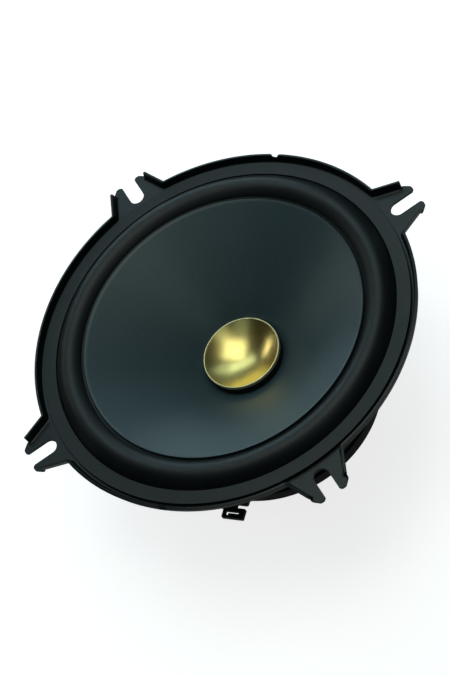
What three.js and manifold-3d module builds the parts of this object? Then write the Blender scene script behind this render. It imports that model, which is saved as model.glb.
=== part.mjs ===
// A 13 cm car-door mid-bass loudspeaker: stamped steel basket with four slotted ears, rubber
// surround, dished dust cap, spider, voice coil and ferrite motor. Millimetres, +Z out of the front,
// origin at the centre of the flat back face, ears on the X and Y axes.
import * as THREE from "three";
import { mergeVertices } from "three/addons/utils/BufferGeometryUtils.js";
import Module from "manifold-3d";

const wasm = await Module();
wasm.setup();

// ---- Driving dimensions ----------------------------------------------------------------------

// General
const cutTolerance = 0.005; // slivers thinner than this are removed after a cut
const glue = 0.1; // glue line or loose gap between two pieces that touch
const sheet = 0.9; // thickness of the stamped steel basket
const bigSegments = 48; // facets round the large rings
const smallSegments = 32; // facets round the voice coil and its neighbours

// Motor
const yokeRadius = 38.8;
const yokeThickness = 4.5;
const yokeChamfer = 0.5;
const poleGap = 0.4; // clearance inside the former, round the pole
const magnetRadius = 38.2;
const magnetGap = 3.2; // clearance round the winding, in the magnet
const magnetThickness = 12;
const magnetChamfer = 0.8;
const topPlateRadius = 35;
const topPlateThickness = 4;
const coilGap = 0.6; // clearance round the winding, in the top plate

// Basket
const basketDepth = 28.7; // underside of its base to the front of its flange
const riserRun = 2.2; // from the edge of the base out to the shelf
const baseBoreStep = 1; // base's hole beyond the top plate's
const shelfHeight = 3.6; // top of the spider's shelf above the base's top
const shelfInner = 32;
const shelfMargin = 6.2; // shelf left outside the spider
const flangeWidth = 8.6; // from the inside of the cup to the foot of the rim
const cupLength = 8.5; // straight part of the cup, from the front of the flange
const cupShoulder = 2.6; // height of the bend between the cup and the slope
const cupShoulderIn = 2.2;
const rimRadius = 66; // outside of the turned-up rim at its foot
const rimFlare = 0.6; // how far the rim leans out at its top
const rimHeight = 2.8; // rim above the front of the flange
const rimNotchWidth = 1.8;
const rimNotchDepth = 1.0;
const windowInset = 0.6; // windows start this far outside the shelf
const windowMargin = 0.7; // and end this far inside the top of the slope
const spokeWidth = 14;

// Ears
const earCount = 4;
const slotOffset = 2.7; // centre of the slot's round end, beyond the foot of the rim
const slotLength = 7.9; // from that centre to the fingers' tips
const slotWidth = 5.1;
const fingerShoulder = 2; // from a finger's tip back to where its side turns in
const earShoulderHalf = 6.5;
const earTaper = 0.41; // half width gained for each millimetre towards the axis
const earWallGap = 3.2; // from a finger's tip back to the end of the rim's return
const fingerTipOuter = 4.7;
const fingerTipInner = 3.3;
const slotLeadIn = 0.8; // length of the corner that widens the slot's mouth

// Suspension and cone
const landingInset = 1.8; // from the inside of the cup to the surround's landing
const landingWidth = 4.6;
const gasketOverhang = 0.1;
const gasketThickness = 0.6;
const rubber = 0.5; // thickness of the surround
const rollWidth = 9.7;
const rollInnerRise = 2.1; // roll's inner foot above the front of the flange
const rollHeight = 3.2; // crest above the line between the roll's feet
const lipWidth = 3; // surround's lip under the cone's edge
const coneEdgeGap = 1; // from the cone's edge to the roll's inner foot
const coneEdgeRise = 2.6; // top of the cone's edge above the front of the flange
const coneCurve = 0.85; // exponent of the cone's profile: under 1 is steeper at the neck
const coneDrop = 0.8; // thickness of the cone, measured along Z
const coneNeckWall = 0.8;
const coneNeckLength = 1.4;
const coneNeckLift = 0.2; // neck's foot above the lead pads

// Voice coil and cap
const formerInner = 12.3;
const formerWall = 0.3;
const collarWall = 0.4;
const windingWall = 0.6;
const windingLength = 9;
const formerBelowWinding = 1.2;
const capOverhang = 0.3; // cap's rim beyond the collar
const capRise = 4.4; // cap's rim above the top of the cone's neck
const capDish = 4.6;
const capWall = 0.5;
const capSkirt = 1.4;

// Spider
const spiderLanding = 3.6;
const spiderSeat = 4.8; // width of the shelf that the spider covers
const spiderWaves = 5;
const spiderAmplitude = 1;
const spiderThickness = 0.6;
const spiderCollarWidth = 3.2;

// Rivets between basket and top plate
const plateRivetCount = 6;
const plateRivetInset = 4.3; // from the edge of the base in to the rivets' circle
const plateRivetHead = 2.6;
const plateRivetShank = 1.5;
const plateRivetHeadHeight = 1.0;
const plateRivetGrip = 2.4; // how deep the shank goes into the top plate

// Terminal board, measured out from the axis along its own direction and to its side
const terminalAngle = THREE.MathUtils.degToRad(225);
const boardThickness = 1.5;
const boardSetIn = 8.2; // from the shelf's outer edge in to the board's inner end
const boardLength = 15.5;
const boardHalfWidth = 14;
const hookStart = 6.1;
const hookEnd = 13.8;
const hookNeck = 4.3;
const hookStandOff = 1.4; // gap between the board's end and the hook
const hookDepth = 3.7;
const hookBar = 0.95; // width of the hook's thin bars
const hookSlit = 0.8; // width of the slit in the hook
const hookHeel = 1.9; // thick end of the hook beside the slit
const boardRivetInset = 4; // from the shelf's outer edge in to the board's rivets
const boardRivetSpread = 10.5;
const boardRivetShank = 0.9;
const boardRivetHead = 1.5;
const boardRivetHeadHeight = 0.7;
const bladeThickness = 0.8;
const bladeDrop = 7.0;
const bladeSetBack = 1.7; // from the board's end back to a blade
const footLength = 4.2;
const tagRivetSetBack = 2.4; // from a blade back to its rivet
const tagRivetShank = 0.7;
const tagRivetHead = 1.3;
const tagRivetHeadHeight = 0.6;
const blades = [
  { name: "positive", offset: -6.5, width: 4.8 },
  { name: "negative", offset: 2.6, width: 2.8 },
];
const leadRadius = 0.5;
const padWidth = 2.2;
const padDepth = 1.2;
const padHeight = 1.2;
const padSpread = THREE.MathUtils.degToRad(16);

// ---- Levels and radii that follow from them --------------------------------------------------

const magnetBottom = yokeThickness + glue;
const topPlateBottom = magnetBottom + magnetThickness + glue;
const topPlateTop = topPlateBottom + topPlateThickness;
const baseBottom = topPlateTop + glue;
const baseTop = baseBottom + sheet;
const flangeFront = baseBottom + basketDepth;
const flangeBack = flangeFront - sheet;
const rimTop = flangeFront + rimHeight;
const shelfTop = baseTop + shelfHeight;
const landingBottom = flangeFront + glue;
const landingTop = landingBottom + rubber;
const gasketTop = landingTop + glue + gasketThickness;

const baseRadius = shelfInner - riserRun;
const plateRivetCircle = baseRadius - plateRivetInset;
const spiderOuter = shelfInner + spiderSeat;
const shelfOuter = spiderOuter + shelfMargin;
const cupRadius = rimRadius - flangeWidth;
const slopeTopRadius = cupRadius - cupShoulderIn;
const windowInner = shelfOuter + windowInset;
const windowOuter = slopeTopRadius - windowMargin;
const slotRadius = rimRadius + slotOffset;
const earReach = slotRadius + slotLength;
const earShoulder = earReach - fingerShoulder;
const earWallEnd = earReach - earWallGap;
const landingInner = cupRadius + landingInset;
const landingOuter = landingInner + landingWidth;
const gasketOuter = landingOuter + gasketOverhang;
const rollInner = landingInner - rollWidth;
const coneEdge = rollInner - coneEdgeGap;
const coneEdgeTop = flangeFront + coneEdgeRise;

const poleRadius = formerInner - poleGap;
const formerOuter = formerInner + formerWall;
const collarInner = formerOuter + glue;
const collarOuter = collarInner + collarWall;
const neckRadius = collarOuter + glue;
const capRadius = collarOuter + capOverhang;
const windingInner = formerOuter + glue;
const windingOuter = windingInner + windingWall;
const gapOuterRadius = windingOuter + coilGap;
const magnetBore = windingOuter + magnetGap;
const baseBore = gapOuterRadius + baseBoreStep;

const spiderBottom = shelfTop + glue;
const spiderTop = spiderBottom + spiderThickness;
const padBottom = spiderTop + glue;
const coneNeckBottom = padBottom + padHeight + coneNeckLift;
const coneNeckTop = coneNeckBottom + coneNeckLength;
const capRimTop = coneNeckTop + capRise;
const windingBottom = (topPlateBottom + topPlateTop - windingLength) / 2;
const windingTop = windingBottom + windingLength;
const formerBottom = windingBottom - formerBelowWinding;
const formerTop = capRimTop - capSkirt - glue;

const boardTop = shelfTop - sheet - glue;
const boardBottom = boardTop - boardThickness;
const boardInner = shelfOuter - boardSetIn;
const boardOuter = boardInner + boardLength;
const boardRivetAt = shelfOuter - boardRivetInset;
const hookInner = boardOuter + hookStandOff;
const hookReach = hookInner + hookDepth;
const bladeAt = boardOuter - bladeSetBack;
const footStart = bladeAt - footLength;
const tagRivetAt = bladeAt - tagRivetSetBack;

// ---- Shape helpers ---------------------------------------------------------------------------

const material = (color, roughness, metalness) =>
  new THREE.MeshStandardMaterial({ color, roughness, metalness });

const finishes = {
  blackPaint: material(0x23292c, 0.45, 0.4),
  rubber: material(0x1c2023, 0.5, 0),
  coneFilm: material(0x2c3437, 0.4, 0),
  gold: material(0xc9a548, 0.25, 1),
  paper: material(0x17181a, 0.8, 0),
  kapton: material(0x8a5a24, 0.4, 0),
  copper: material(0xb4683a, 0.35, 1),
  cloth: material(0xb08a3e, 0.85, 0),
  zinc: material(0xb7bbb9, 0.35, 1),
  ferrite: material(0x2b2b2d, 0.6, 0.1),
  phenolic: material(0x16181a, 0.6, 0),
  tin: material(0xc4c2ba, 0.3, 1),
};

// A ring or disc turned about Z from [radius, height] points.
function turned(profile, segments) {
  const points = profile.map(([r, z]) => new THREE.Vector2(r, z));
  if (profile[0][0] > 0) points.push(points[0].clone());
  return new THREE.LatheGeometry(points, segments).rotateX(Math.PI / 2);
}

// A plain ring between two radii and two heights.
function ring(inner, outer, bottom, top, segments) {
  const profile = [
    [inner, bottom],
    [outer, bottom],
    [outer, top],
    [inner, top],
  ];
  return turned(profile, segments);
}

// A flat plate: the outline's [x, y] points, between two heights.
function plate(outline, bottom, top) {
  const shape = new THREE.Shape(outline.map(([x, y]) => new THREE.Vector2(x, y)));
  const options = { depth: top - bottom, bevelEnabled: false };
  return new THREE.ExtrudeGeometry(shape, options).translate(0, 0, bottom);
}

// A round bar along Z at (x, y).
function bar(radius, bottom, top, x, y, segments = 12) {
  return new THREE.CylinderGeometry(radius, radius, top - bottom, segments)
    .rotateX(Math.PI / 2)
    .translate(x, y, (top + bottom) / 2);
}

function solid(geometry) {
  const bare = geometry.index ? geometry.toNonIndexed() : geometry.clone();
  bare.deleteAttribute("normal");
  bare.deleteAttribute("uv");
  const merged = mergeVertices(bare, 1e-4);
  const triVerts = new Uint32Array(merged.index.array);
  const vertProperties = merged.attributes.position.array;
  return new wasm.Manifold(new wasm.Mesh({ numProp: 3, vertProperties, triVerts }));
}

function surface(made) {
  const tidied = made.simplify(cutTolerance);
  const { numProp, numVert, vertProperties, triVerts } = tidied.getMesh();
  const positions = new Float32Array(numVert * 3);
  for (let i = 0; i < numVert; i++) {
    positions.set(vertProperties.subarray(i * numProp, i * numProp + 3), i * 3);
  }
  return new THREE.BufferGeometry()
    .setAttribute("position", new THREE.BufferAttribute(positions, 3))
    .setIndex(new THREE.BufferAttribute(triVerts, 1));
}

const speaker = new THREE.Group();

function addPiece(name, geometry, finish, parent = speaker) {
  const mesh = new THREE.Mesh(geometry, finish);
  mesh.name = name;
  parent.add(mesh);
  return mesh;
}

const around = (count, action) => {
  for (let i = 0; i < count; i++) action(i, (i * 2 * Math.PI) / count);
};

// ---- Motor: yoke, magnet, top plate ----------------------------------------------------------

function makeYoke() {
  const profile = [
    [0, 0],
    [yokeRadius - yokeChamfer, 0],
    [yokeRadius, yokeChamfer],
    [yokeRadius, yokeThickness],
    [poleRadius, yokeThickness],
    [poleRadius, topPlateTop],
    [0, topPlateTop],
  ];
  return turned(profile, bigSegments);
}

function makeMagnet() {
  const top = magnetBottom + magnetThickness;
  const profile = [
    [magnetBore, magnetBottom],
    [magnetRadius - magnetChamfer, magnetBottom],
    [magnetRadius, magnetBottom + magnetChamfer],
    [magnetRadius, top - magnetChamfer],
    [magnetRadius - magnetChamfer, top],
    [magnetBore, top],
  ];
  return turned(profile, bigSegments);
}

// The places of the rivets on their circle, between the basket's spokes and its windows alike.
function rivetPlaces() {
  const places = [];
  around(plateRivetCount, (i, angle) => {
    const turn = angle + Math.PI / plateRivetCount;
    places.push([plateRivetCircle * Math.cos(turn), plateRivetCircle * Math.sin(turn)]);
  });
  return places;
}

function makeTopPlate() {
  let made = solid(ring(gapOuterRadius, topPlateRadius, topPlateBottom, topPlateTop, bigSegments));
  const holeBottom = topPlateTop - plateRivetGrip - glue;
  for (const [x, y] of rivetPlaces()) {
    made = made.subtract(solid(bar(plateRivetShank + glue, holeBottom, topPlateTop + 1, x, y)));
  }
  return surface(made);
}

function plateRivet(x, y) {
  const headBottom = baseTop + glue;
  const head = solid(bar(plateRivetHead, headBottom, headBottom + plateRivetHeadHeight, x, y));
  const shank = solid(bar(plateRivetShank, topPlateTop - plateRivetGrip, headBottom + glue, x, y));
  return surface(head.add(shank));
}

// ---- Basket ----------------------------------------------------------------------------------

// Half the ear's width, outside its wall, at a distance from the axis.
const earHalfWidth = (distance) => earShoulderHalf + (earShoulder - distance) * earTaper;

function basketShell() {
  const straightFoot = flangeFront - cupLength;
  const slopeTop = straightFoot - cupShoulder;
  const bend = sheet / 2; // sideways shift of the outer skin at a bend
  const profile = [
    [baseBore, baseBottom],
    [baseRadius + bend, baseBottom],
    [shelfInner + bend, shelfTop - sheet],
    [shelfOuter + bend, shelfTop - sheet],
    [slopeTopRadius + sheet, slopeTop - bend],
    [cupRadius + sheet, straightFoot - bend],
    [cupRadius + sheet, flangeBack],
    [rimRadius - sheet, flangeBack],
    [rimRadius, flangeFront - bend],
    [rimRadius + rimFlare, rimTop],
    [rimRadius + rimFlare - sheet, rimTop],
    [rimRadius - sheet, flangeFront],
    [cupRadius, flangeFront],
    [cupRadius, straightFoot],
    [slopeTopRadius, slopeTop],
    [shelfOuter, shelfTop],
    [shelfInner, shelfTop],
    [baseRadius, baseTop],
    [baseBore, baseTop],
  ];
  return solid(turned(profile, bigSegments));
}

// The ear's flat outline, pointing along +X, with its open slot.
function earOutline() {
  const half = slotWidth / 2;
  const root = rimRadius - 3 * sheet;
  const upper = [
    [root, earHalfWidth(root)],
    [earShoulder, earShoulderHalf],
    [earReach - 0.1, fingerTipOuter],
    [earReach, fingerTipInner],
    [earReach - slotLeadIn, half],
  ];
  const lower = upper.map(([x, y]) => [x, -y]).reverse();
  const slotEnd = [];
  const steps = 8;
  for (let i = 0; i <= steps; i++) {
    const turn = Math.PI / 2 + (i * Math.PI) / steps;
    slotEnd.push([slotRadius + half * Math.cos(turn), half * Math.sin(turn)]);
  }
  return [...upper, ...slotEnd, ...lower];
}

// The wall that runs out along one side of the ear, a continuation of the rim.
function earWall(side) {
  const start = rimRadius - sheet / 2;
  const outline = [
    [start, side * earHalfWidth(start)],
    [earWallEnd, side * earHalfWidth(earWallEnd)],
    [earWallEnd, side * (earHalfWidth(earWallEnd) - sheet)],
    [start, side * (earHalfWidth(start) - sheet)],
  ];
  return solid(plate(side > 0 ? outline.reverse() : outline, flangeBack, rimTop));
}

// The space over the ear where the rim is left out.
function earMouth() {
  const inner = rimRadius - sheet * 1.5;
  const outer = rimRadius + rimFlare + 1;
  const half = earHalfWidth(rimRadius) - sheet;
  const outline = [
    [inner, -half],
    [outer, -half],
    [outer, half],
    [inner, half],
  ];
  return solid(plate(outline, flangeFront, rimTop + 1));
}

// One window through the slope, between two spokes, centred on +X.
function windowCutter() {
  const outline = [];
  const steps = 10;
  const halfSpoke = spokeWidth / 2;
  const reach = (radius) => Math.PI / 4 - Math.asin(halfSpoke / radius);
  for (let i = 0; i <= steps; i++) {
    const turn = reach(windowOuter) * (-1 + (2 * i) / steps);
    outline.push([windowOuter * Math.cos(turn), windowOuter * Math.sin(turn)]);
  }
  for (let i = 0; i <= steps; i++) {
    const turn = reach(windowInner) * (1 - (2 * i) / steps);
    outline.push([windowInner * Math.cos(turn), windowInner * Math.sin(turn)]);
  }
  return solid(plate(outline, shelfTop - 2 * sheet, flangeFront - cupLength));
}

function rimNotch(angle) {
  const inner = rimRadius - 2 * sheet;
  const outer = rimRadius + rimFlare + 1;
  const half = rimNotchWidth / 2;
  const outline = [
    [inner, -half],
    [outer, -half],
    [outer, half],
    [inner, half],
  ];
  const cut = plate(outline, rimTop - rimNotchDepth, rimTop + 1);
  return solid(cut.rotateZ(angle));
}

function makeBasket() {
  let made = basketShell();
  const ear = solid(plate(earOutline(), flangeBack, flangeFront));
  const mouth = earMouth();
  const walls = [earWall(1), earWall(-1)];
  const opening = windowCutter();
  around(earCount, (i, angle) => {
    const degrees = THREE.MathUtils.radToDeg(angle);
    made = made.subtract(mouth.rotate([0, 0, degrees]));
    made = made.add(ear.rotate([0, 0, degrees]));
    for (const wall of walls) made = made.add(wall.rotate([0, 0, degrees]));
    made = made.subtract(opening.rotate([0, 0, degrees + 180 / earCount]));
  });
  for (const angle of [terminalAngle, terminalAngle + Math.PI]) {
    made = made.subtract(rimNotch(angle));
  }
  for (const [x, y] of rivetPlaces()) {
    made = made.subtract(solid(bar(plateRivetShank + glue, baseBottom - 1, baseTop + 1, x, y)));
  }
  for (const side of [-1, 1]) {
    const [x, y] = boardPoint(boardRivetAt, side * boardRivetSpread);
    made = made.subtract(solid(bar(boardRivetShank + glue, boardTop, shelfTop + 1, x, y, 8)));
  }
  return surface(made);
}

// ---- Suspension, cone and voice coil ---------------------------------------------------------

// Height of the cone's upper face at a radius.
function coneHeight(radius) {
  const share = (radius - neckRadius) / (coneEdge - neckRadius);
  return coneNeckTop + (coneEdgeTop - coneNeckTop) * share ** coneCurve;
}

// The cone's upper face as [radius, height] stations from the neck to the edge.
function coneStations() {
  const steps = 6;
  const stations = [];
  for (let i = 0; i <= steps; i++) {
    const radius = neckRadius + ((coneEdge - neckRadius) * i) / steps;
    stations.push([radius, coneHeight(radius)]);
  }
  return stations;
}

function makeCone() {
  const upper = coneStations();
  const lower = upper.slice(1).map(([r, z]) => [r, z - coneDrop]);
  const profile = [
    [neckRadius, coneNeckBottom],
    [neckRadius + coneNeckWall, coneNeckBottom],
    [neckRadius + coneNeckWall, coneNeckTop - coneDrop / 2],
    ...lower,
    ...upper.reverse(),
  ];
  return turned(profile, bigSegments);
}

// Points of the roll's arc between its two feet, shifted up or down by an offset.
function rollArc(offset) {
  const steps = 8;
  const innerFoot = flangeFront + rollInnerRise - rubber / 2;
  const outerFoot = landingTop - rubber / 2;
  const points = [];
  for (let i = 1; i < steps; i++) {
    const t = i / steps;
    const swell = Math.sin(Math.PI * t) ** 0.85;
    const radius = rollInner + (landingInner - rollInner) * t;
    const foot = innerFoot + (outerFoot - innerFoot) * t;
    points.push([radius, foot + rollHeight * swell + offset]);
  }
  return points;
}

function makeSurround() {
  const [[innerRadius, innerZ], [outerRadius, outerZ]] = coneStations().slice(-2);
  const slope = (outerZ - innerZ) / (outerRadius - innerRadius);
  const lipTop = coneEdgeTop - coneDrop - glue;
  const lipInnerTop = lipTop - lipWidth * slope;
  const footTop = flangeFront + rollInnerRise;
  const profile = [
    [landingInner, landingBottom],
    [landingOuter, landingBottom],
    [landingOuter, landingTop],
    [landingInner, landingTop],
    ...rollArc(rubber / 2).reverse(),
    [rollInner, footTop],
    [coneEdge + glue, lipTop],
    [coneEdge - lipWidth, lipInnerTop],
    [coneEdge - lipWidth, lipInnerTop - rubber],
    [coneEdge + glue, lipTop - rubber],
    [rollInner, footTop - rubber],
    ...rollArc(-rubber / 2),
  ];
  return turned(profile, bigSegments);
}

// The dished cap: a shallow bowl with a rolled rim and a short skirt outside it.
function makeCap() {
  const steps = 4;
  const bowlRadius = capRadius - capWall;
  const floor = capRimTop - capDish;
  const inside = [];
  for (let i = steps; i >= 0; i--) {
    const share = i / steps;
    inside.push([bowlRadius * share, floor + capDish * share * share]);
  }
  const skirtBottom = capRimTop - capSkirt;
  const underside = [];
  for (let i = 0; i < steps; i++) {
    const share = i / steps;
    const radius = (bowlRadius - capWall) * share;
    underside.push([radius, floor - capWall + (capDish - 0.9) * share * share]);
  }
  const profile = [
    ...underside,
    [formerInner - glue, skirtBottom],
    [capRadius, skirtBottom],
    [capRadius, capRimTop],
    ...inside,
  ];
  return turned(profile, smallSegments);
}

function makeSpider() {
  const inner = collarOuter + glue;
  const waveStart = inner + spiderCollarWidth;
  const waveEnd = spiderOuter - spiderLanding;
  const count = spiderWaves * 2;
  const crest = [];
  for (let i = 0; i <= count; i++) {
    const radius = waveStart + ((waveEnd - waveStart) * i) / count;
    const lift = i % 2 ? spiderAmplitude : 0;
    crest.push([radius, spiderBottom + lift]);
  }
  const upper = crest.map(([r, z]) => [r, z + spiderThickness]).reverse();
  const profile = [
    [inner, spiderBottom],
    ...crest,
    [spiderOuter, spiderBottom],
    [spiderOuter, spiderTop],
    ...upper,
    [inner, spiderTop],
  ];
  return turned(profile, smallSegments);
}

// ---- Terminal board, blades and leads --------------------------------------------------------

// A point on the board from its distance out along the board and its distance to the side.
function boardPoint(out, side) {
  const cos = Math.cos(terminalAngle);
  const sin = Math.sin(terminalAngle);
  return [out * cos - side * sin, out * sin + side * cos];
}

function makeBoard() {
  const outline = [
    [boardInner, -boardHalfWidth],
    [boardOuter, -boardHalfWidth],
    [boardOuter, hookStart],
    [hookReach, hookStart],
    [hookReach, hookEnd],
    [hookInner, hookEnd],
    [hookInner, hookStart + hookNeck],
    [boardOuter, hookStart + hookNeck],
    [boardOuter, boardHalfWidth],
    [boardInner, boardHalfWidth],
  ];
  let made = solid(plate(outline, boardBottom, boardTop));
  const slitOut = hookInner + hookBar + 0.3;
  const slitSide = hookStart + hookBar;
  const slit = [
    [slitOut, slitSide],
    [hookReach - hookBar, slitSide],
    [hookReach - hookBar, slitSide + hookSlit + 0.4],
    [slitOut + hookSlit, slitSide + hookSlit + 0.4],
    [slitOut + hookSlit, hookEnd - hookHeel],
    [slitOut, hookEnd - hookHeel],
  ];
  made = made.subtract(solid(plate(slit, boardBottom - 1, boardTop + 1)));
  const holes = [-1, 1].map((side) => [boardRivetAt, side * boardRivetSpread, boardRivetShank]);
  for (const { offset } of blades) holes.push([tagRivetAt, offset, tagRivetShank]);
  for (const [out, side, shank] of holes) {
    made = made.subtract(solid(bar(shank + glue, boardBottom - 1, boardTop + 1, out, side, 8)));
  }
  return surface(made).rotateZ(terminalAngle);
}

// A rivet with a head at each end, along Z.
function twoHeadedRivet(shank, head, headHeight, bottom, top, out, side) {
  const [x, y] = boardPoint(out, side);
  const shaft = solid(bar(shank, bottom - headHeight / 2, top + headHeight / 2, x, y, 8));
  const lower = solid(bar(head, bottom - headHeight, bottom, x, y, 10));
  const upper = solid(bar(head, top, top + headHeight, x, y, 10));
  return surface(shaft.add(lower).add(upper));
}

function makeBlade(offset, width) {
  const top = boardBottom - glue;
  const side = width / 2;
  const foot = [
    [footStart, offset - side],
    [bladeAt + bladeThickness, offset - side],
    [bladeAt + bladeThickness, offset + side],
    [footStart, offset + side],
  ];
  const tab = [
    [bladeAt, offset - side],
    [bladeAt + bladeThickness, offset - side],
    [bladeAt + bladeThickness, offset + side],
    [bladeAt, offset + side],
  ];
  const hole = bar(tagRivetShank + glue, top - 2, top + 1, tagRivetAt, offset, 8);
  const made = solid(plate(foot, top - bladeThickness, top))
    .add(solid(plate(tab, top - bladeDrop, top - bladeThickness / 2)))
    .subtract(solid(hole));
  return surface(made).rotateZ(terminalAngle);
}

// A small pad on the voice coil's collar, where a lead is soldered to the coil's wire.
function makePad(side) {
  const inner = collarOuter + glue;
  const half = padWidth / 2;
  const outline = [
    [inner, -half],
    [inner + padDepth, -half],
    [inner + padDepth, half],
    [inner, half],
  ];
  return plate(outline, padBottom, padBottom + padHeight).rotateZ(terminalAngle + side * padSpread);
}

// A braided lead's centreline, from its terminal rivet over the spider to its pad.
function leadPath(offset, side) {
  const [startX, startY] = boardPoint(tagRivetAt, offset);
  const startZ = boardTop + glue + tagRivetHeadHeight + leadRadius + glue;
  const padAngle = terminalAngle + side * padSpread;
  const padOut = collarOuter + glue + padDepth + glue + leadRadius;
  const [endX, endY] = [padOut * Math.cos(padAngle), padOut * Math.sin(padAngle)];
  const endZ = padBottom + padHeight / 2;
  const at = (share, height) =>
    new THREE.Vector3(
      startX + (endX - startX) * share,
      startY + (endY - startY) * share,
      height,
    );
  return new THREE.CatmullRomCurve3([
    at(0, startZ),
    at(0.06, startZ + 0.8),
    at(0.2, startZ + 3.0),
    at(0.4, startZ + 4.7),
    at(0.6, startZ + 4.7),
    at(0.8, endZ + 2.1),
    at(0.93, endZ + 0.6),
    at(1, endZ),
  ]);
}

function makeLead(offset, side) {
  const sides = 8;
  const section = new THREE.Shape();
  for (let i = 0; i <= sides; i++) {
    const turn = (i * 2 * Math.PI) / sides;
    const [x, y] = [leadRadius * Math.cos(turn), leadRadius * Math.sin(turn)];
    if (i) section.lineTo(x, y);
    else section.moveTo(x, y);
  }
  const options = { steps: 24, bevelEnabled: false, extrudePath: leadPath(offset, side) };
  return new THREE.ExtrudeGeometry(section, options);
}

// ---- The whole speaker -----------------------------------------------------------------------

addPiece("pole_yoke", makeYoke(), finishes.zinc);
addPiece("magnet", makeMagnet(), finishes.ferrite);
addPiece("top_plate", makeTopPlate(), finishes.zinc);
addPiece("basket", makeBasket(), finishes.blackPaint);
rivetPlaces().forEach(([x, y], i) => {
  addPiece(`plate_rivet_${i + 1}`, plateRivet(x, y), finishes.zinc);
});

addPiece("surround", makeSurround(), finishes.rubber);
const gasketShape = ring(landingInner, gasketOuter, landingTop + glue, gasketTop, bigSegments);
addPiece("gasket_ring", gasketShape, finishes.rubber);
addPiece("spider", makeSpider(), finishes.cloth);

addPiece("cone", makeCone(), finishes.coneFilm);
addPiece("dust_cap", makeCap(), finishes.gold);
const formerShape = ring(formerInner, formerOuter, formerBottom, formerTop, smallSegments);
addPiece("voice_coil_former", formerShape, finishes.kapton);
const windingShape = ring(windingInner, windingOuter, windingBottom, windingTop, smallSegments);
addPiece("voice_coil_winding", windingShape, finishes.copper);
const collarShape = ring(collarInner, collarOuter, shelfTop, formerTop, smallSegments);
addPiece("former_collar", collarShape, finishes.paper);

addPiece("terminal_board", makeBoard(), finishes.phenolic);
[-1, 1].forEach((side, i) => {
  const top = shelfTop + glue;
  const bottom = boardBottom - glue;
  const shape = twoHeadedRivet(
    boardRivetShank, boardRivetHead, boardRivetHeadHeight,
    bottom, top, boardRivetAt, side * boardRivetSpread,
  );
  addPiece(`board_rivet_${i + 1}`, shape, finishes.zinc);
});
blades.forEach(({ name, offset, width }, i) => {
  const side = i ? 1 : -1;
  const footBottom = boardBottom - glue - bladeThickness - glue;
  addPiece(`terminal_${name}`, makeBlade(offset, width), finishes.tin);
  const tag = twoHeadedRivet(
    tagRivetShank, tagRivetHead, tagRivetHeadHeight,
    footBottom, boardTop + glue, tagRivetAt, offset,
  );
  addPiece(`tag_rivet_${name}`, tag, finishes.tin);
  addPiece(`lead_pad_${name}`, makePad(side), finishes.tin);
  addPiece(`lead_${name}`, makeLead(offset, side), finishes.copper);
});

export default speaker;
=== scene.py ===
"""A 13 cm car-door mid-bass loudspeaker, laid out as an add-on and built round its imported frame.

Lengths are metres. +Z points out of the front, the origin is the centre of the flat back face,
the four ears lie along the X and Y axes, and the terminal board points between -X and -Y.
"""

import math

import bmesh
import bpy
from bpy.props import FloatProperty, FloatVectorProperty, IntProperty, PointerProperty
from mathutils import Matrix, Vector


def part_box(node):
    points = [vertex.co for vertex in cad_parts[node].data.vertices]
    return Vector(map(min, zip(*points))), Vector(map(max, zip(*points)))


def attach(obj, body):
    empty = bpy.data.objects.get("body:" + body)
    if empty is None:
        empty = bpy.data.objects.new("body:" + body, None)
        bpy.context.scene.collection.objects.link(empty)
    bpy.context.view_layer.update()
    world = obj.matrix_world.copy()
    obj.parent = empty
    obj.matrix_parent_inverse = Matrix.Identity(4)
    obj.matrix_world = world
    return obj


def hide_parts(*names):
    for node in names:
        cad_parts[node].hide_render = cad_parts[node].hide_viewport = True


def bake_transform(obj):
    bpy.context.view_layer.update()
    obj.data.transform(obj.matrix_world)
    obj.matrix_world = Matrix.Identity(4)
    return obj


bl_info = {
    "name": "Door Speaker",
    "version": (1, 0, 0),
    "blender": (4, 5, 0),
    "location": "View3D > Sidebar > Speaker",
    "description": "Builds a 13 cm door speaker piece by piece",
    "category": "Add Mesh",
}

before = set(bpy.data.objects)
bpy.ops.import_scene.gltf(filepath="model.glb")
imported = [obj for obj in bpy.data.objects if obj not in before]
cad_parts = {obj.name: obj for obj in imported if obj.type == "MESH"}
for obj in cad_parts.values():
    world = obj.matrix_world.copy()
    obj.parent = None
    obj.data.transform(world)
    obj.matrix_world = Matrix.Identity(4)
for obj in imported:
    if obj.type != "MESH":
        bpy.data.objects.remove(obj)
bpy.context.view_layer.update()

MM = 0.001
STEPS = 192  # facets round a turned piece
FACE_STEPS = 256  # facets round the wide pieces of the face
QUARTER_COLUMNS = 72  # columns of the basket's sheet in each quarter
MERGE = 1e-5  # points closer than this are one point
GLUE = 0.1 * MM  # gap between two pieces that are glued or pressed together
QUARTER_TURN = math.pi / 2
EIGHTH_TURN = math.pi / 4
SHARP = math.radians(32)  # an edge sharper than this is shaded as an edge
ROUNDED_ABOVE = math.radians(50)  # a bevel rounds the edges that are sharper than this


def low(node, axis=2):
    """A CAD node's lowest coordinate along an axis, in millimetres."""
    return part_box(node)[0][axis] / MM


def high(node, axis=2):
    """A CAD node's highest coordinate along an axis, in millimetres."""
    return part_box(node)[1][axis] / MM


# ---- Sizes and colours -----------------------------------------------------------------------


def size(name, value, description):
    """A length property, given in millimetres."""
    return FloatProperty(
        name=name, description=description, default=value * MM, min=0.0, unit="LENGTH", precision=4
    )


def colour(name, value, description):
    """A colour property."""
    return FloatVectorProperty(
        name=name, description=description, default=value, size=3, min=0.0, max=1.0, subtype="COLOR"
    )


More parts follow.
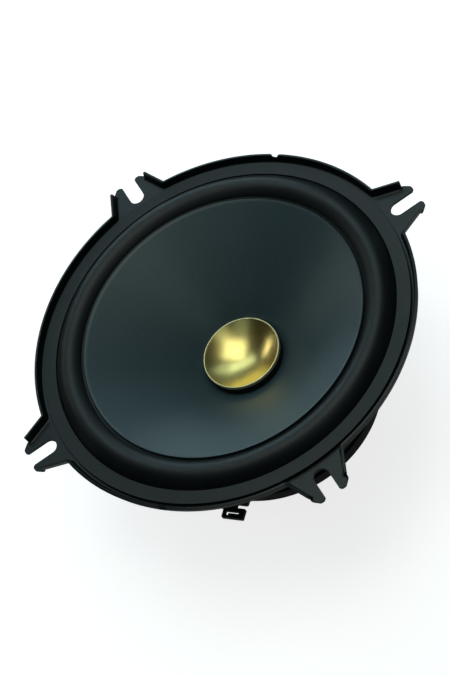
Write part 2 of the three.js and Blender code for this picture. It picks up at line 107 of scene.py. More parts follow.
class SpeakerMotorSizes(bpy.types.PropertyGroup):
    yoke_radius: size("Yoke radius", high("pole_yoke", 0), "Outside of the back plate")
    yoke_top: size("Yoke top", low("magnet") - 0.1, "Front face of the back plate")
    yoke_chamfer: size("Yoke chamfer", 0.5, "Width of the chamfer on its back edge")
    pole_radius: size("Pole radius", 11.9, "Radius of the pole inside the voice coil")
    pole_top: size("Pole top", high("pole_yoke"), "Front face of the pole")
    magnet_radius: size("Magnet radius", high("magnet", 0), "Outside of the ring magnet")
    magnet_bore: size("Magnet bore", 16.5, "Radius of the hole in the magnet")
    magnet_bottom: size("Magnet back", low("magnet"), "Back face of the magnet")
    magnet_top: size("Magnet front", high("magnet"), "Front face of the magnet")
    magnet_chamfer: size("Magnet chamfer", 0.8, "Width of the magnet's ground chamfers")
    plate_radius: size("Top plate radius", high("top_plate", 0), "Outside of the top plate")
    plate_bore: size("Top plate bore", 13.9, "Radius of the magnetic gap's outer side")
    plate_bottom: size("Top plate back", low("top_plate"), "Back face of the top plate")
    plate_top: size("Top plate front", high("top_plate"), "Front face of the top plate")
    rivet_count: IntProperty(
        name="Plate rivets", description="Rivets round the base of the basket", default=6, min=1
    )
    rivet_circle: size("Rivet circle", 25.5, "Radius of the circle the rivets stand on")
    rivet_head: size("Rivet head", 2.6, "Radius of a rivet's head")
    rivet_height: size("Rivet head height", 1.0, "Height of a rivet's head")


class SpeakerBasketSizes(bpy.types.PropertyGroup):
    sheet: size("Sheet", 0.9, "Thickness of the pressed steel")
    base_bore: size("Base bore", 14.9, "Radius of the hole in the base")
    base_radius: size("Base radius", 29.8, "Outside of the flat base")
    base_top: size("Base front", low("basket") + 0.9, "Front face of the base")
    shelf_inner: size("Shelf inside", 32.0, "Inner radius of the spider's shelf")
    shelf_outer: size("Shelf outside", 43.0, "Outer radius of the spider's shelf")
    shelf_top: size("Shelf front", low("spider") - 0.1, "Front face of the spider's shelf")
    cup_radius: size("Cup radius", 57.4, "Inside of the straight cup behind the flange")
    cup_foot: size("Cup foot", 41.0, "Where the cup's wall meets the slope")
    flange_front: size("Flange front", high("basket") - 2.8, "Front face of the flange")
    rim_radius: size("Rim radius", 66.0, "Outside of the turned-up rim at its foot")
    rim_flare: size("Rim flare", 0.6, "How far the rim leans out at its top")
    rim_top: size("Rim top", high("basket"), "Top edge of the rim")
    rim_bend: size("Rim bend", 0.6, "Inside radius of the bend at the rim's foot")
    cup_bend: size("Cup bend", 1.0, "Radius of the bend between cup and flange")
    notch_width: size("Notch width", 1.8, "Width of the two marks cut in the rim")
    notch_depth: size("Notch depth", 1.0, "Depth of the two marks cut in the rim")
    ear_shoulder: size("Ear shoulder", 74.6, "Distance out where a finger's side turns in")
    ear_shoulder_half: size("Ear shoulder half", 6.5, "Half the ear's width there")
    ear_taper: FloatProperty(
        name="Ear taper", description="Half width gained for each unit towards the axis",
        default=0.41, min=0.0, max=1.0,
    )
    ear_reach: size("Ear reach", high("basket", 0), "Distance out to the fingers' tips")
    ear_wall_end: size("Ear wall end", 73.4, "Distance out where the ear's wall stops")
    ear_root_radius: size("Ear root radius", 2.8, "Plan radius of the corner between rim and ear")
    slot_radius: size("Slot centre", 68.7, "Distance out to the centre of the slot's round end")
    slot_width: size("Slot width", 5.1, "Width of the open mounting slot")
    window_inner: size("Window inside", 44.7, "Inner radius of the windows")
    window_outer: size("Window outside", 54.4, "Outer radius of the windows")
    window_corner: size("Window corner", 2.6, "Radius of the windows' corners")
    spoke_width: size("Spoke width", 14.0, "Width of the metal left between two windows")
    bead_depth: size("Bead depth", 1.1, "Depth of the stiffening bead pressed along each spoke")
    bead_half: size("Bead half width", 4.4, "Half the width of that bead")


class SpeakerConeSizes(bpy.types.PropertyGroup):
    neck_radius: size("Neck radius", 13.2, "Inside of the cone's neck")
    neck_wall: size("Neck wall", 0.8, "Thickness of the cone's neck")
    neck_bottom: size("Neck foot", low("cone"), "Foot of the cone's neck")
    neck_top: size("Neck top", 28.9, "Where the cone starts to open")
    edge_radius: size("Edge radius", 48.5, "Outside of the cone")
    edge_top: size("Edge top", high("cone"), "Front of the cone's edge")
    thickness: size("Thickness", 0.8, "Thickness of the cone along Z")
    curve: FloatProperty(
        name="Curve", description="Exponent of the cone's profile", default=0.85, min=0.3, max=2.0
    )
    rubber: size("Rubber", 0.5, "Thickness of the surround")
    landing_inner: size("Landing inside", 59.2, "Inside of the surround's flat landing")
    landing_outer: size("Landing outside", 63.8, "Outside of the surround's flat landing")
    roll_inner: size("Roll inside", 49.5, "Inner foot of the roll")
    roll_height: size("Roll height", 3.15, "Crest above the line between the roll's feet")
    roll_inner_top: size("Roll inner foot", 51.6, "Top of the roll's inner foot")
    lip_width: size("Lip width", 3.0, "Surround's lip under the cone's edge")
    gasket_outer: size("Gasket outside", high("gasket_ring", 0), "Outside of the gasket ring")
    gasket_bottom: size("Gasket back", low("gasket_ring"), "Back face of the gasket ring")
    gasket_top: size("Gasket front", high("gasket_ring"), "Front face of the gasket ring")


class SpeakerCoilSizes(bpy.types.PropertyGroup):
    cap_radius: size("Cap radius", high("dust_cap", 0), "Outside of the dust cap's rim")
    cap_top: size("Cap rim", high("dust_cap"), "Top of the cap's rolled rim")
    cap_dish: size("Cap dish", 4.6, "Depth of the cap's bowl")
    cap_wall: size("Cap wall", 0.5, "Thickness of the cap")
    cap_skirt: size("Cap skirt", 1.4, "Height of the cap's outer skirt")
    former_inner: size("Former inside", 12.3, "Inside of the voice coil's former")
    former_wall: size("Former wall", 0.3, "Thickness of the former")
    former_bottom: size("Former foot", low("voice_coil_former"), "Back end of the former")
    former_top: size("Former top", high("voice_coil_former"), "Front end of the former")
    collar_wall: size("Collar wall", 0.4, "Thickness of the paper collar")
    winding_bottom: size("Winding foot", low("voice_coil_winding"), "Back end of the winding")
    winding_top: size("Winding top", high("voice_coil_winding"), "Front end of the winding")
    winding_wall: size("Winding wall", 0.6, "Thickness of the winding")
    wire: size("Wire", 0.3, "Diameter of the winding's wire")
    spider_outer: size("Spider outside", 36.8, "Outer radius of the spider")
    spider_bottom: size("Spider back", low("spider"), "Back of the spider's landing")
    spider_wave_start: size("Spider waves from", 16.4, "Inner radius of the corrugations")
    spider_wave_end: size("Spider waves to", 33.2, "Outer radius of the corrugations")
    spider_amplitude: size("Spider wave height", 1.0, "Height of a corrugation")
    spider_cloth: size("Spider cloth", 0.6, "Thickness of the spider")
    spider_waves: IntProperty(
        name="Spider waves", description="Number of corrugations", default=5, min=1
    )


class SpeakerTerminalSizes(bpy.types.PropertyGroup):
    board_top: size("Board front", high("terminal_board"), "Front face of the terminal board")
    board_bottom: size("Board back", low("terminal_board"), "Back face of the terminal board")
    board_inner: size("Board inside", 34.8, "Distance out to the board's inner end")
    board_outer: size("Board outside", 50.3, "Distance out to the board's outer end")
    board_half: size("Board half width", 14.0, "Half the board's width")
    hook_start: size("Hook start", 6.1, "Side of the cable hook nearer the middle")
    hook_end: size("Hook end", 13.8, "Side of the cable hook away from the middle")
    hook_neck: size("Hook neck", 4.3, "Width of the neck that carries the hook")
    hook_inner: size("Hook inside", 51.7, "Distance out to the hook's inner side")
    hook_outer: size("Hook outside", 55.4, "Distance out to the hook's outer side")
    board_rivet_at: size("Board rivets out", 39.0, "Distance out to the board's rivets")
    board_rivet_side: size("Board rivets apart", 10.5, "Their distance to each side")
    blade_at: size("Blade out", 48.6, "Distance out to the blades")
    blade_sheet: size("Blade sheet", 0.8, "Thickness of a blade")
    blade_bottom: size("Blade tip", low("terminal_positive"), "Tip of the blades")
    foot_start: size("Foot start", 44.4, "Distance out to the inner end of a blade's foot")
    tag_rivet_at: size("Tag rivets out", 46.2, "Distance out to the tag rivets")
    positive_offset: size("Wide blade offset", 6.5, "Distance of the wide blade to one side")
    negative_offset: size("Narrow blade offset", 2.6, "Distance of the narrow blade to the other")
    positive_width: size("Wide blade", 4.8, "Width of the wide blade")
    negative_width: size("Narrow blade", 2.8, "Width of the narrow blade")
    pad_depth: size("Pad depth", 1.2, "Depth of a lead's pad")
    pad_width: size("Pad width", 2.2, "Width of a lead's pad")
    pad_bottom: size("Pad foot", low("lead_pad_positive"), "Back of a lead's pad")
    pad_top: size("Pad top", high("lead_pad_positive"), "Front of a lead's pad")
    lead_radius: size("Lead radius", 0.5, "Radius of a braided lead")


class SpeakerFinishes(bpy.types.PropertyGroup):
    black_paint: colour("Paint", (0.005, 0.008, 0.0095), "Black powder paint on the basket")
    black_rubber: colour("Rubber", (0.0035, 0.0055, 0.0065), "Rubber of the surround")
    cone_film: colour("Cone", (0.034, 0.056, 0.066), "Filled polypropylene of the cone")
    gold_anodise: colour("Gold", (0.88, 0.68, 0.24), "Anodised gold of the dust cap")
    black_paper: colour("Paper", (0.012, 0.013, 0.014), "Bonded paper of the collar")
    former_film: colour("Former", (0.36, 0.17, 0.04), "Amber film of the former")
    coil_copper: colour("Copper", (0.72, 0.33, 0.16), "Varnished copper wire")
    spider_cloth: colour("Spider", (0.44, 0.3, 0.1), "Resin-dipped cotton of the spider")
    black_plating: colour("Plating", (0.022, 0.024, 0.027), "Black plating on the steel")
    ferrite: colour("Ferrite", (0.045, 0.046, 0.05), "Ground ferrite of the magnet")
    board_black: colour("Board", (0.014, 0.015, 0.017), "Black fibre board")
    tinned: colour("Tin", (0.66, 0.65, 0.61), "Tin plate of blades and rivets")
    lead_braid: colour("Braid", (0.68, 0.4, 0.22), "Braided copper leads")
    floor: colour("Floor", (0.6, 0.61, 0.61), "Plain pale floor")


# ---- Node trees ------------------------------------------------------------------------------


class Value:
    """One output socket. Arithmetic on it adds Math nodes to its tree."""

    def __init__(self, tree, socket):
        self.tree = tree
        self.socket = socket

    def math(self, operation, *values):
        """One Math node, on the given values or on this one alone."""
        return self.tree.node("ShaderNodeMath", {"operation": operation}, values or (self,))

    def __add__(self, other):
        return self.math("ADD", self, other)

    def __sub__(self, other):
        return self.math("SUBTRACT", self, other)

    def __rsub__(self, other):
        return self.math("SUBTRACT", other, self)

    def __mul__(self, other):
        return self.math("MULTIPLY", self, other)

    def __pow__(self, other):
        return self.math("POWER", self, other)

    __radd__ = __add__
    __rmul__ = __mul__


class Tree:
    """A node tree that is filled through one method."""

    def __init__(self, tree):
        self.tree = tree

    def node(self, kind, settings=None, inputs=(), output=0):
        """Adds a node, its settings before its sockets' values or links; gives one output."""
        made = self.tree.nodes.new(kind)
        for key, value in (settings or {}).items():
            setattr(made, key, value)
        pairs = inputs.items() if isinstance(inputs, dict) else enumerate(inputs)
        for key, value in pairs:
            socket = made.inputs[key]
            if isinstance(value, Value):
                self.tree.links.new(value.socket, socket)
            elif socket.type == "RGBA" and len(value) == 3:
                socket.default_value = (*value, 1.0)
            else:
                socket.default_value = value
        return Value(self, made.outputs[output]) if len(made.outputs) else made


class Finish(Tree):
    """One material's node tree, with the few patterns that the finishes share."""

    def __init__(self, name):
        self.material = bpy.data.materials.new(name)
        self.material.use_nodes = True
        super().__init__(self.material.node_tree)
        self.tree.nodes.clear()
        self.place = self.node("ShaderNodeTexCoord", output="Object")

    def apart(self):
        """The place's x, y and z as three values."""
        made = self.node("ShaderNodeSeparateXYZ", inputs=(self.place,)).socket.node
        return [Value(self, made.outputs[i]) for i in range(3)]

    def radius(self):
        """Distance from the axis."""
        x, y, _ = self.apart()
        return (x * x + y * y) ** 0.5

    def noise(self, scale, detail=2.0, vector=None, roughness=0.5):
        """Noise with so many grains to the metre."""
        inputs = {"Vector": vector or self.place, "Scale": scale, "Detail": detail}
        return self.node("ShaderNodeTexNoise", inputs={**inputs, "Roughness": roughness})

    def rings(self, spacing, detail=2.0):
        """Noise that varies only with radius and height, as turning marks do."""
        _, _, z = self.apart()
        spot = self.node("ShaderNodeCombineXYZ", inputs=(self.radius(), 0.0, z))
        return self.noise(1.0 / spacing, detail, spot)

    def cells(self, scale):
        """Distance to the nearest of many scattered points."""
        inputs = {"Vector": self.place, "Scale": scale}
        return self.node("ShaderNodeTexVoronoi", {"feature": "F1"}, inputs)

    def step(self, value, start, end):
        """Rises smoothly from 0 at start to 1 at end."""
        settings = {"interpolation_type": "SMOOTHSTEP"}
        return self.node("ShaderNodeMapRange", settings, (value, start, end, 0.0, 1.0))

    def mix(self, factor, first, second):
        """A colour between two others."""
        inputs = {0: factor, 6: first, 7: second}
        return self.node("ShaderNodeMix", {"data_type": "RGBA"}, inputs, output=2)

    def bump(self, height, depth, strength=1.0, normal=None):
        """A normal that follows a height, over another bump's normal if there is one."""
        inputs = {"Strength": strength, "Distance": depth, "Height": height}
        if normal:
            inputs["Normal"] = normal
        return self.node("ShaderNodeBump", inputs=inputs)

    def surface(self, base, roughness, normal, **constants):
        """Ends the tree in one surface shader and returns the material."""
        inputs = {"Base Color": base, "Roughness": roughness, "Normal": normal}
        for key, value in constants.items():
            inputs[key.replace("_", " ").title().replace("Ior", "IOR")] = value
        shader = self.node("ShaderNodeBsdfPrincipled", inputs=inputs)
        self.node("ShaderNodeOutputMaterial", inputs=(shader,))
        return self.material


class Shape(Tree):
    """A geometry tree with named inputs that ends in Realize Instances and Set Material."""

    def __init__(self, name):
        super().__init__(bpy.data.node_groups.new(name, "GeometryNodeTree"))
        self.group = self.tree.nodes.new("NodeGroupInput")
        self.values = {}

    def input(self, name, kind, value):
        """One named input of the tree, with the value that the modifier gives it."""
        face = self.tree.interface
        item = face.new_socket(name, in_out="INPUT", socket_type=f"NodeSocket{kind}")
        self.values[item.identifier] = value
        return Value(self, self.group.outputs[name])

    def lengths(self, **values):
        """Named length inputs, in the order given."""
        names = [key.replace("_", " ").capitalize() for key in values]
        return [self.input(name, "Float", value) for name, value in zip(names, values.values())]

    def build(self, name, geometry, material):
        """Closes the tree on a new object and returns it as a plain mesh."""
        face = self.tree.interface
        face.new_socket("Geometry", in_out="OUTPUT", socket_type="NodeSocketGeometry")
        real = self.node("GeometryNodeRealizeInstances", inputs=(geometry,))
        inputs = {"Geometry": real, "Material": material}
        done = self.node("GeometryNodeSetMaterial", inputs=inputs)
        self.node("NodeGroupOutput", inputs=(done,))
        piece = new_object(name, bpy.data.meshes.new(name), material)
        modifier = piece.modifiers.new("shape", "NODES")
        modifier.node_group = self.tree
        for identifier, value in self.values.items():
            modifier[identifier] = value
        plain(piece)
        return piece


# ---- Finishes --------------------------------------------------------------------------------


def shade(rgb, factor):
    """A colour made darker or lighter."""
    return tuple(min(1.0, channel * factor) for channel in rgb)


def powder_paint(name, rgb):
    """Satin powder paint: a fine orange peel over slow changes of tone."""
    f = Finish(name)
    peel = f.noise(2400, 3.0)
    cloud = f.noise(45, 3.0)
    specks = f.step(f.noise(5200, 1.0), 0.66, 0.78)
    base = f.mix(f.step(cloud, 0.3, 0.7), shade(rgb, 0.86), shade(rgb, 1.16))
    base = f.mix(specks * 0.35, base, shade(rgb, 2.4))
    roughness = 0.3 + cloud * 0.08 + peel * 0.06
    return f.surface(base, roughness, f.bump(peel, 0.012 * MM, 0.5), specular_ior_level=0.35)


def butyl_rubber(name, rgb):
    """Moulded rubber: soft sheen, a dull bloom in places and faint mould marks round the ring."""
    f = Finish(name)
    skin = f.noise(3200, 2.0)
    bloom = f.step(f.noise(38, 4.0), 0.45, 0.75)
    marks = f.rings(0.5 * MM, 1.0)
    base = f.mix(bloom * 0.5, rgb, shade(rgb, 1.45))
    roughness = 0.4 + bloom * 0.06 + skin * 0.06
    normal = f.bump(marks, 0.006 * MM, 0.4, f.bump(skin, 0.006 * MM, 0.5))
    return f.surface(base, roughness, normal, specular_ior_level=0.34)


def mica_film(name, rgb):
    """The cone's filled plastic: an even satin with a very fine grain and a few bright flakes."""
    f = Finish(name)
    grain = f.noise(2100, 3.0, roughness=0.6)
    cloud = f.noise(30, 3.0)
    flakes = f.step(f.noise(6400, 1.0), 0.68, 0.8)
    base = f.mix(f.step(grain, 0.3, 0.72), shade(rgb, 0.84), shade(rgb, 1.15))
    base = f.mix(f.step(cloud, 0.35, 0.7) * 0.3, base, shade(rgb, 1.25))
    base = f.mix(flakes * 0.4, base, shade(rgb, 3.2))
    roughness = 0.36 + grain * 0.08
    normal = f.bump(grain, 0.02 * MM, 0.45)
    return f.surface(base, roughness, normal, specular_ior_level=0.45)


def gold_finish(name, rgb):
    """Satin gold over smooth aluminium, duller on the rolled rim, where a painted highlight makes
    the colour paler.
    """
    f = Finish(name)
    silk = f.noise(2600, 2.0)
    cloud = f.noise(160, 2.0)
    rim = f.step(f.radius(), 12.8 * MM, 13.1 * MM)
    base = f.mix(f.step(silk, 0.3, 0.7), shade(rgb, 0.97), shade(rgb, 1.03))
    deeper = (rgb[0] * 0.96, rgb[1] * 0.9, rgb[2] * 0.8)
    base = f.mix(f.step(cloud, 0.35, 0.7) * 0.4, base, deeper)
    # painted highlight: the rolled rim's colour is lifted most of the way to a pale gold
    base = f.mix(rim * 0.7, base, (1.0, 0.93, 0.6))
    roughness = 0.26 + silk * 0.03 + cloud * 0.02 + rim * 0.2
    return f.surface(base, roughness, f.bump(silk, 0.001 * MM, 0.2), metallic=1.0)


def bonded_paper(name, rgb):
    """Dull black paper with short fibres."""
    f = Finish(name)
    fibres = f.noise(900, 5.0, roughness=0.7)
    base = f.mix(f.step(fibres, 0.3, 0.7), shade(rgb, 0.75), shade(rgb, 1.5))
    return f.surface(base, 0.78 + fibres * 0.12, f.bump(fibres, 0.05 * MM, 0.6))


def amber_film(name, rgb):
    """Thin amber film with fine streaks along its height."""
    f = Finish(name)
    streaks = f.noise(260, 3.0)
    base = f.mix(f.step(streaks, 0.3, 0.7), shade(rgb, 0.8), shade(rgb, 1.2))
    return f.surface(base, 0.3 + streaks * 0.12, f.bump(streaks, 0.01 * MM, 0.4), coat_weight=0.3)


def wire_copper(name, rgb):
    """Varnished copper: a warm metal with darker lacquer in places."""
    f = Finish(name)
    lacquer = f.noise(420, 3.0)
    base = f.mix(f.step(lacquer, 0.35, 0.7), rgb, shade(rgb, 0.7))
    normal = f.bump(lacquer, 0.01 * MM, 0.4)
    return f.surface(base, 0.26 + lacquer * 0.14, normal, metallic=1.0, coat_weight=0.35)


def dipped_cotton(name, rgb):
    """Woven cotton stiffened with resin: threads over and under, with uneven resin."""
    f = Finish(name)
    x, y, _ = f.apart()
    pitch = 2 * math.pi / (0.72 * MM)
    warp = (x * pitch).math("SINE")
    weft = (y * pitch).math("SINE")
    weave = warp.math("ABSOLUTE") * 0.5 + weft.math("ABSOLUTE") * 0.5
    over = f.step(warp * weft, -0.2, 0.2)
    resin = f.noise(70, 4.0)
    base = f.mix(weave, shade(rgb, 0.55), shade(rgb, 1.1))
    base = f.mix(f.step(resin, 0.4, 0.7) * 0.5, base, (rgb[0] * 0.8, rgb[1] * 0.62, rgb[2] * 0.45))
    height = weave * 0.8 + over * 0.2
    return f.surface(base, 0.86 - resin * 0.2, f.bump(height, 0.12 * MM, 0.8), sheen_weight=0.15)


def steel_plating(name, rgb):
    """Black plating over turned steel: round tool marks under a thin satin skin."""
    f = Finish(name)
    marks = f.rings(0.22 * MM, 3.0)
    cloud = f.noise(34, 4.0)
    pits = f.step(f.noise(1500, 2.0), 0.64, 0.76)
    base = f.mix(f.step(cloud, 0.3, 0.7), shade(rgb, 0.8), shade(rgb, 1.3))
    base = f.mix(f.step(marks, 0.62, 0.8) * 0.3, base, shade(rgb, 2.2))
    roughness = 0.34 + cloud * 0.12 + pits * 0.1
    normal = f.bump(marks, 0.02 * MM, 0.5, f.bump(pits, -0.03 * MM, 0.4))
    return f.surface(base, roughness, normal, metallic=0.25, coat_weight=0.15)


def ground_ferrite(name, rgb):
    """Sintered ferrite: matt dark grey grains, ground marks and tiny chips."""
    f = Finish(name)
    grains = f.noise(1300, 4.0, roughness=0.65)
    chips = f.step(f.cells(420), 0.16, 0.05)
    cloud = f.noise(40, 3.0)
    base = f.mix(f.step(grains, 0.3, 0.7), shade(rgb, 0.72), shade(rgb, 1.3))
    base = f.mix(f.step(cloud, 0.4, 0.75) * 0.4, base, shade(rgb, 1.5))
    base = f.mix(chips * 0.5, base, shade(rgb, 0.4))
    height = grains * 0.6 - chips * 0.8
    return f.surface(base, 0.6 + grains * 0.16, f.bump(height, 0.06 * MM, 0.7), metallic=0.1)


def fibre_board(name, rgb):
    """Pressed fibre board: a dull face with fibres lying both ways."""
    f = Finish(name)
    fibres = f.noise(700, 5.0, roughness=0.7)
    broad = f.noise(90, 3.0)
    base = f.mix(f.step(fibres, 0.3, 0.72), shade(rgb, 0.7), shade(rgb, 1.7))
    roughness = 0.5 + broad * 0.14 + fibres * 0.1
    return f.surface(base, roughness, f.bump(fibres, 0.04 * MM, 0.6))


def tin_plate(name, rgb):
    """Tin plate: bright grey with drawn lines, duller clouds and a few dark specks."""
    f = Finish(name)
    stretch = f.node("ShaderNodeMapping", inputs={"Vector": f.place, "Scale": (1.0, 1.0, 0.08)})
    lines = f.noise(2200, 2.0, stretch)
    cloud = f.noise(280, 3.0)
    base = f.mix(f.step(cloud, 0.3, 0.7), shade(rgb, 0.84), shade(rgb, 1.08))
    base = f.mix(f.step(f.noise(1900, 1.0), 0.7, 0.8) * 0.5, base, shade(rgb, 0.45))
    roughness = 0.24 + cloud * 0.16 + lines * 0.06
    return f.surface(base, roughness, f.bump(lines, 0.01 * MM, 0.5), metallic=1.0)


def braided_copper(name, rgb):
    """Copper tinsel: fine bright threads with darker gaps."""
    f = Finish(name)
    threads = f.noise(5200, 2.0)
    tarnish = f.noise(500, 3.0)
    base = f.mix(f.step(threads, 0.35, 0.62), shade(rgb, 0.42), rgb)
    base = f.mix(f.step(tarnish, 0.5, 0.75) * 0.5, base, shade(rgb, 0.55))
    return f.surface(base, 0.36 + tarnish * 0.16, f.bump(threads, 0.05 * MM, 0.7), metallic=1.0)


RECIPES = {
    "black_paint": powder_paint,
    "black_rubber": butyl_rubber,
    "cone_film": mica_film,
    "gold_anodise": gold_finish,
    "black_paper": bonded_paper,
    "former_film": amber_film,
    "coil_copper": wire_copper,
    "spider_cloth": dipped_cotton,
    "black_plating": steel_plating,
    "ferrite": ground_ferrite,
    "board_black": fibre_board,
    "tinned": tin_plate,
    "lead_braid": braided_copper,
}


def finish(slot):
    """The material of a record's slot, made the first time it is asked for."""
    name = f"{slot}_finish"
    made = bpy.data.materials.get(name)
    if made:
        return made
    rgb = tuple(getattr(bpy.context.scene.speaker_finishes, slot))
    return RECIPES[slot](name, rgb)


# ---- Mesh helpers ----------------------------------------------------------------------------


def new_object(name, mesh, material=None):
    """Links an object for a mesh, curve or light, with its material."""
    piece = bpy.data.objects.new(name, mesh)
    bpy.context.scene.collection.objects.link(piece)
    if material and not mesh.materials:
        mesh.materials.append(material)
    return piece


def plain(piece):
    """Turns the piece's modifiers into a plain mesh."""
    graph = bpy.context.evaluated_depsgraph_get()
    mesh = bpy.data.meshes.new_from_object(piece.evaluated_get(graph))
    piece.modifiers.clear()
    piece.data = mesh
    mesh.name = piece.name


def mesh_from(bm, name, upward=None):
    """A mesh with merged points and outward faces; upward gives the side of an open sheet."""
    bmesh.ops.remove_doubles(bm, verts=bm.verts, dist=MERGE)
    loose = [edge for edge in bm.edges if not edge.link_faces]
    bmesh.ops.delete(bm, geom=loose, context="EDGES")
    bmesh.ops.recalc_face_normals(bm, faces=bm.faces)
    if upward is not None:
        total = sum((f.normal.z * f.calc_area() for f in bm.faces), 0.0)
        if (total > 0) != upward:
            bmesh.ops.reverse_faces(bm, faces=bm.faces)
    mesh = bpy.data.meshes.new(name)
    bm.to_mesh(mesh)
    bm.free()
    mesh.polygons.foreach_set("use_smooth", [True] * len(mesh.polygons))
    return mesh


def rounded(points, radius, closed=True, steps=4):
    """An outline with each corner turned into an arc; a point's third number is its own radius."""
    longest = 0.45  # the most of a side that one corner's arc may take up
    strip = 1.1  # a short straight before and after the arc keeps the flats flat
    made = []
    count = len(points)
    for i, (x, y, *own) in enumerate(points):
        here = Vector((x, y))
        reach = own[0] if own else radius
        if reach <= 0 or (not closed and i in (0, count - 1)):
            made.append(here)
            continue
        back = Vector(points[i - 1][:2]) - here
        on = Vector(points[(i + 1) % count][:2]) - here
        reach /= math.tan(max(back.angle(on), 1e-3) / 2)
        reach = min(reach, back.length * longest, on.length * longest)
        back.normalize()
        on.normalize()
        made.append(here + back * reach * strip)
        for k in range(steps + 1):
            t = k / steps
            made.append(here + back * reach * (1 - t) ** 2 + on * reach * t**2)
        made.append(here + on * reach * strip)
    return [tuple(point) for point in made]


def add_grid(bm, rows, turns=0):
    """Faces between rows of points, turned round the axis by so many quarters."""
    turn = Matrix.Rotation(turns * QUARTER_TURN, 3, "Z")
    made = [[bm.verts.new(turn @ Vector(point)) for point in row] for row in rows]
    for first, second in zip(made, made[1:]):
        for i in range(len(first) - 1):
            bm.faces.new((first[i], first[i + 1], second[i + 1], second[i]))


def spun(profile, start, end, steps):
    """Rows of points: each (radius, height) carried round from one angle to another."""
    rows = []
    for radius, height in profile:
        angles = [start + (end - start) * k / steps for k in range(steps + 1)]
        rows.append([(radius * math.cos(a), radius * math.sin(a), height) for a in angles])
    return rows


def turned(name, outline, material, steps=STEPS):
    """A solid turned about Z from a closed outline of (radius, height) points."""
    bm = bmesh.new()
    add_grid(bm, spun([*outline, outline[0]], 0.0, 2 * math.pi, steps))
    mesh = mesh_from(bm, name)
    mesh.set_sharp_from_angle(angle=SHARP)
    return new_object(name, mesh, material)


def thickened(piece, thickness, bevel, segments=2):
    """Gives a sheet its thickness, away from the side its faces look to, and rounds its edges."""
    solid = piece.modifiers.new("thickness", "SOLIDIFY")
    solid.thickness = thickness
    solid.offset = -1.0
    solid.use_even_offset = True
    solid.use_quality_normals = True
    bevelled(piece, bevel, segments)


def bevelled(piece, width, segments=2):
    """Rounds the piece's sharp edges and makes it a plain mesh."""
    bevel = piece.modifiers.new("edges", "BEVEL")
    bevel.width = width
    bevel.segments = segments
    bevel.limit_method = "ANGLE"
    bevel.angle_limit = ROUNDED_ABOVE
    bevel.use_clamp_overlap = False
    bevel.harden_normals = True
    plain(piece)


def flat_plate(name, outlines, bottom, top, bevel, material):
    """A plate cut from a filled outline with holes, its edges rounded within its size."""
    curve = bpy.data.curves.new(name, "CURVE")
    curve.dimensions = "2D"
    curve.fill_mode = "BOTH"
    curve.extrude = (top - bottom) / 2 - bevel
    curve.bevel_depth = bevel
    curve.bevel_resolution = 2
    curve.offset = -bevel
    for outline in outlines:
        spline = curve.splines.new("POLY")
        spline.points.add(len(outline) - 1)
        for point, (x, y) in zip(spline.points, outline):
            point.co = (x, y, 0.0, 1.0)
        spline.use_cyclic_u = True
    flat = new_object(name + "_outline", curve)
    graph = bpy.context.evaluated_depsgraph_get()
    mesh = bpy.data.meshes.new_from_object(flat.evaluated_get(graph))
    bpy.data.objects.remove(flat)
    mesh.transform(Matrix.Translation((0.0, 0.0, (top + bottom) / 2)))
    bm = bmesh.new()
    bm.from_mesh(mesh)
    made = mesh_from(bm, name)
    made.materials.clear()
    made.set_sharp_from_angle(angle=SHARP)
    return new_object(name, made, material)


def settle(piece, slot, body, *nodes):
    """Hides the CAD nodes a finished piece stands for and hangs it on the body it rides on; the
    slot is not used.
    """
    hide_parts(*nodes)
    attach(piece, body)


def stretch(piece, slot, node, start, end, weight=None):
    """Hides the CAD node a piece stands for and bakes the piece's placement into its mesh; weight
    gives a point's share, which is worked out but not used.
    """
    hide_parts(node)
    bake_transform(piece)
    if weight:
        shares = [weight(vertex.co) for vertex in piece.data.vertices]


def ease(share):
    """A smooth step from 0 to 1."""
    share = min(1.0, max(0.0, share))
    return share * share * (3 - 2 * share)


# ---- Motor -----------------------------------------------------------------------------------


def build_motor():
    """The back plate with its pole, the ring magnet and the top plate, all turned."""
    s = bpy.context.scene.speaker_motor
    soft = 0.15 * MM  # radius of the edges that have none of their own
    yoke = [
        (0.0, 0.0, 0.0),
        (s.yoke_radius - s.yoke_chamfer, 0.0),
        (s.yoke_radius, s.yoke_chamfer),
        (s.yoke_radius, s.yoke_top, 0.3 * MM),
        (s.pole_radius, s.yoke_top, 0.4 * MM),
        (s.pole_radius, s.pole_top, 0.3 * MM),
        (0.0, s.pole_top, 0.0),
    ]
    plating = finish("black_plating")
    piece = turned("back_plate_and_pole", rounded(yoke, soft), plating)
    settle(piece, "black_plating", "frame", "pole_yoke")
    c = s.magnet_chamfer
    magnet = [
        (s.magnet_bore, s.magnet_bottom),
        (s.magnet_radius - c, s.magnet_bottom),
        (s.magnet_radius, s.magnet_bottom + c),
        (s.magnet_radius, s.magnet_top - c),
        (s.magnet_radius - c, s.magnet_top),
        (s.magnet_bore, s.magnet_top),
    ]
    piece = turned("ring_magnet", rounded(magnet, soft), finish("ferrite"))
    settle(piece, "ferrite", "frame", "magnet")
    plate = [
        (s.plate_bore, s.plate_bottom),
        (s.plate_radius, s.plate_bottom, 0.4 * MM),
        (s.plate_radius, s.plate_top, 0.4 * MM),
        (s.plate_bore, s.plate_top),
    ]
    piece = turned("front_plate", rounded(plate, soft), plating)
    settle(piece, "black_plating", "frame", "top_plate")


def rivet_outline(head, height, shank, foot, bottom):
    """Half the outline of a domed rivet whose head sits at a level."""
    return rounded(
        [
            (0.0, foot, 0.0),
            (shank, foot),
            (shank, bottom),
            (head, bottom),
            (head, bottom + height * 0.45, 0.2 * MM),
            (head * 0.7, bottom + height * 0.88, 0.5 * MM),
            (head * 0.35, bottom + height, 0.5 * MM),
            (0.0, bottom + height, 0.0),
        ],
        0.05 * MM,
        steps=3,
    )


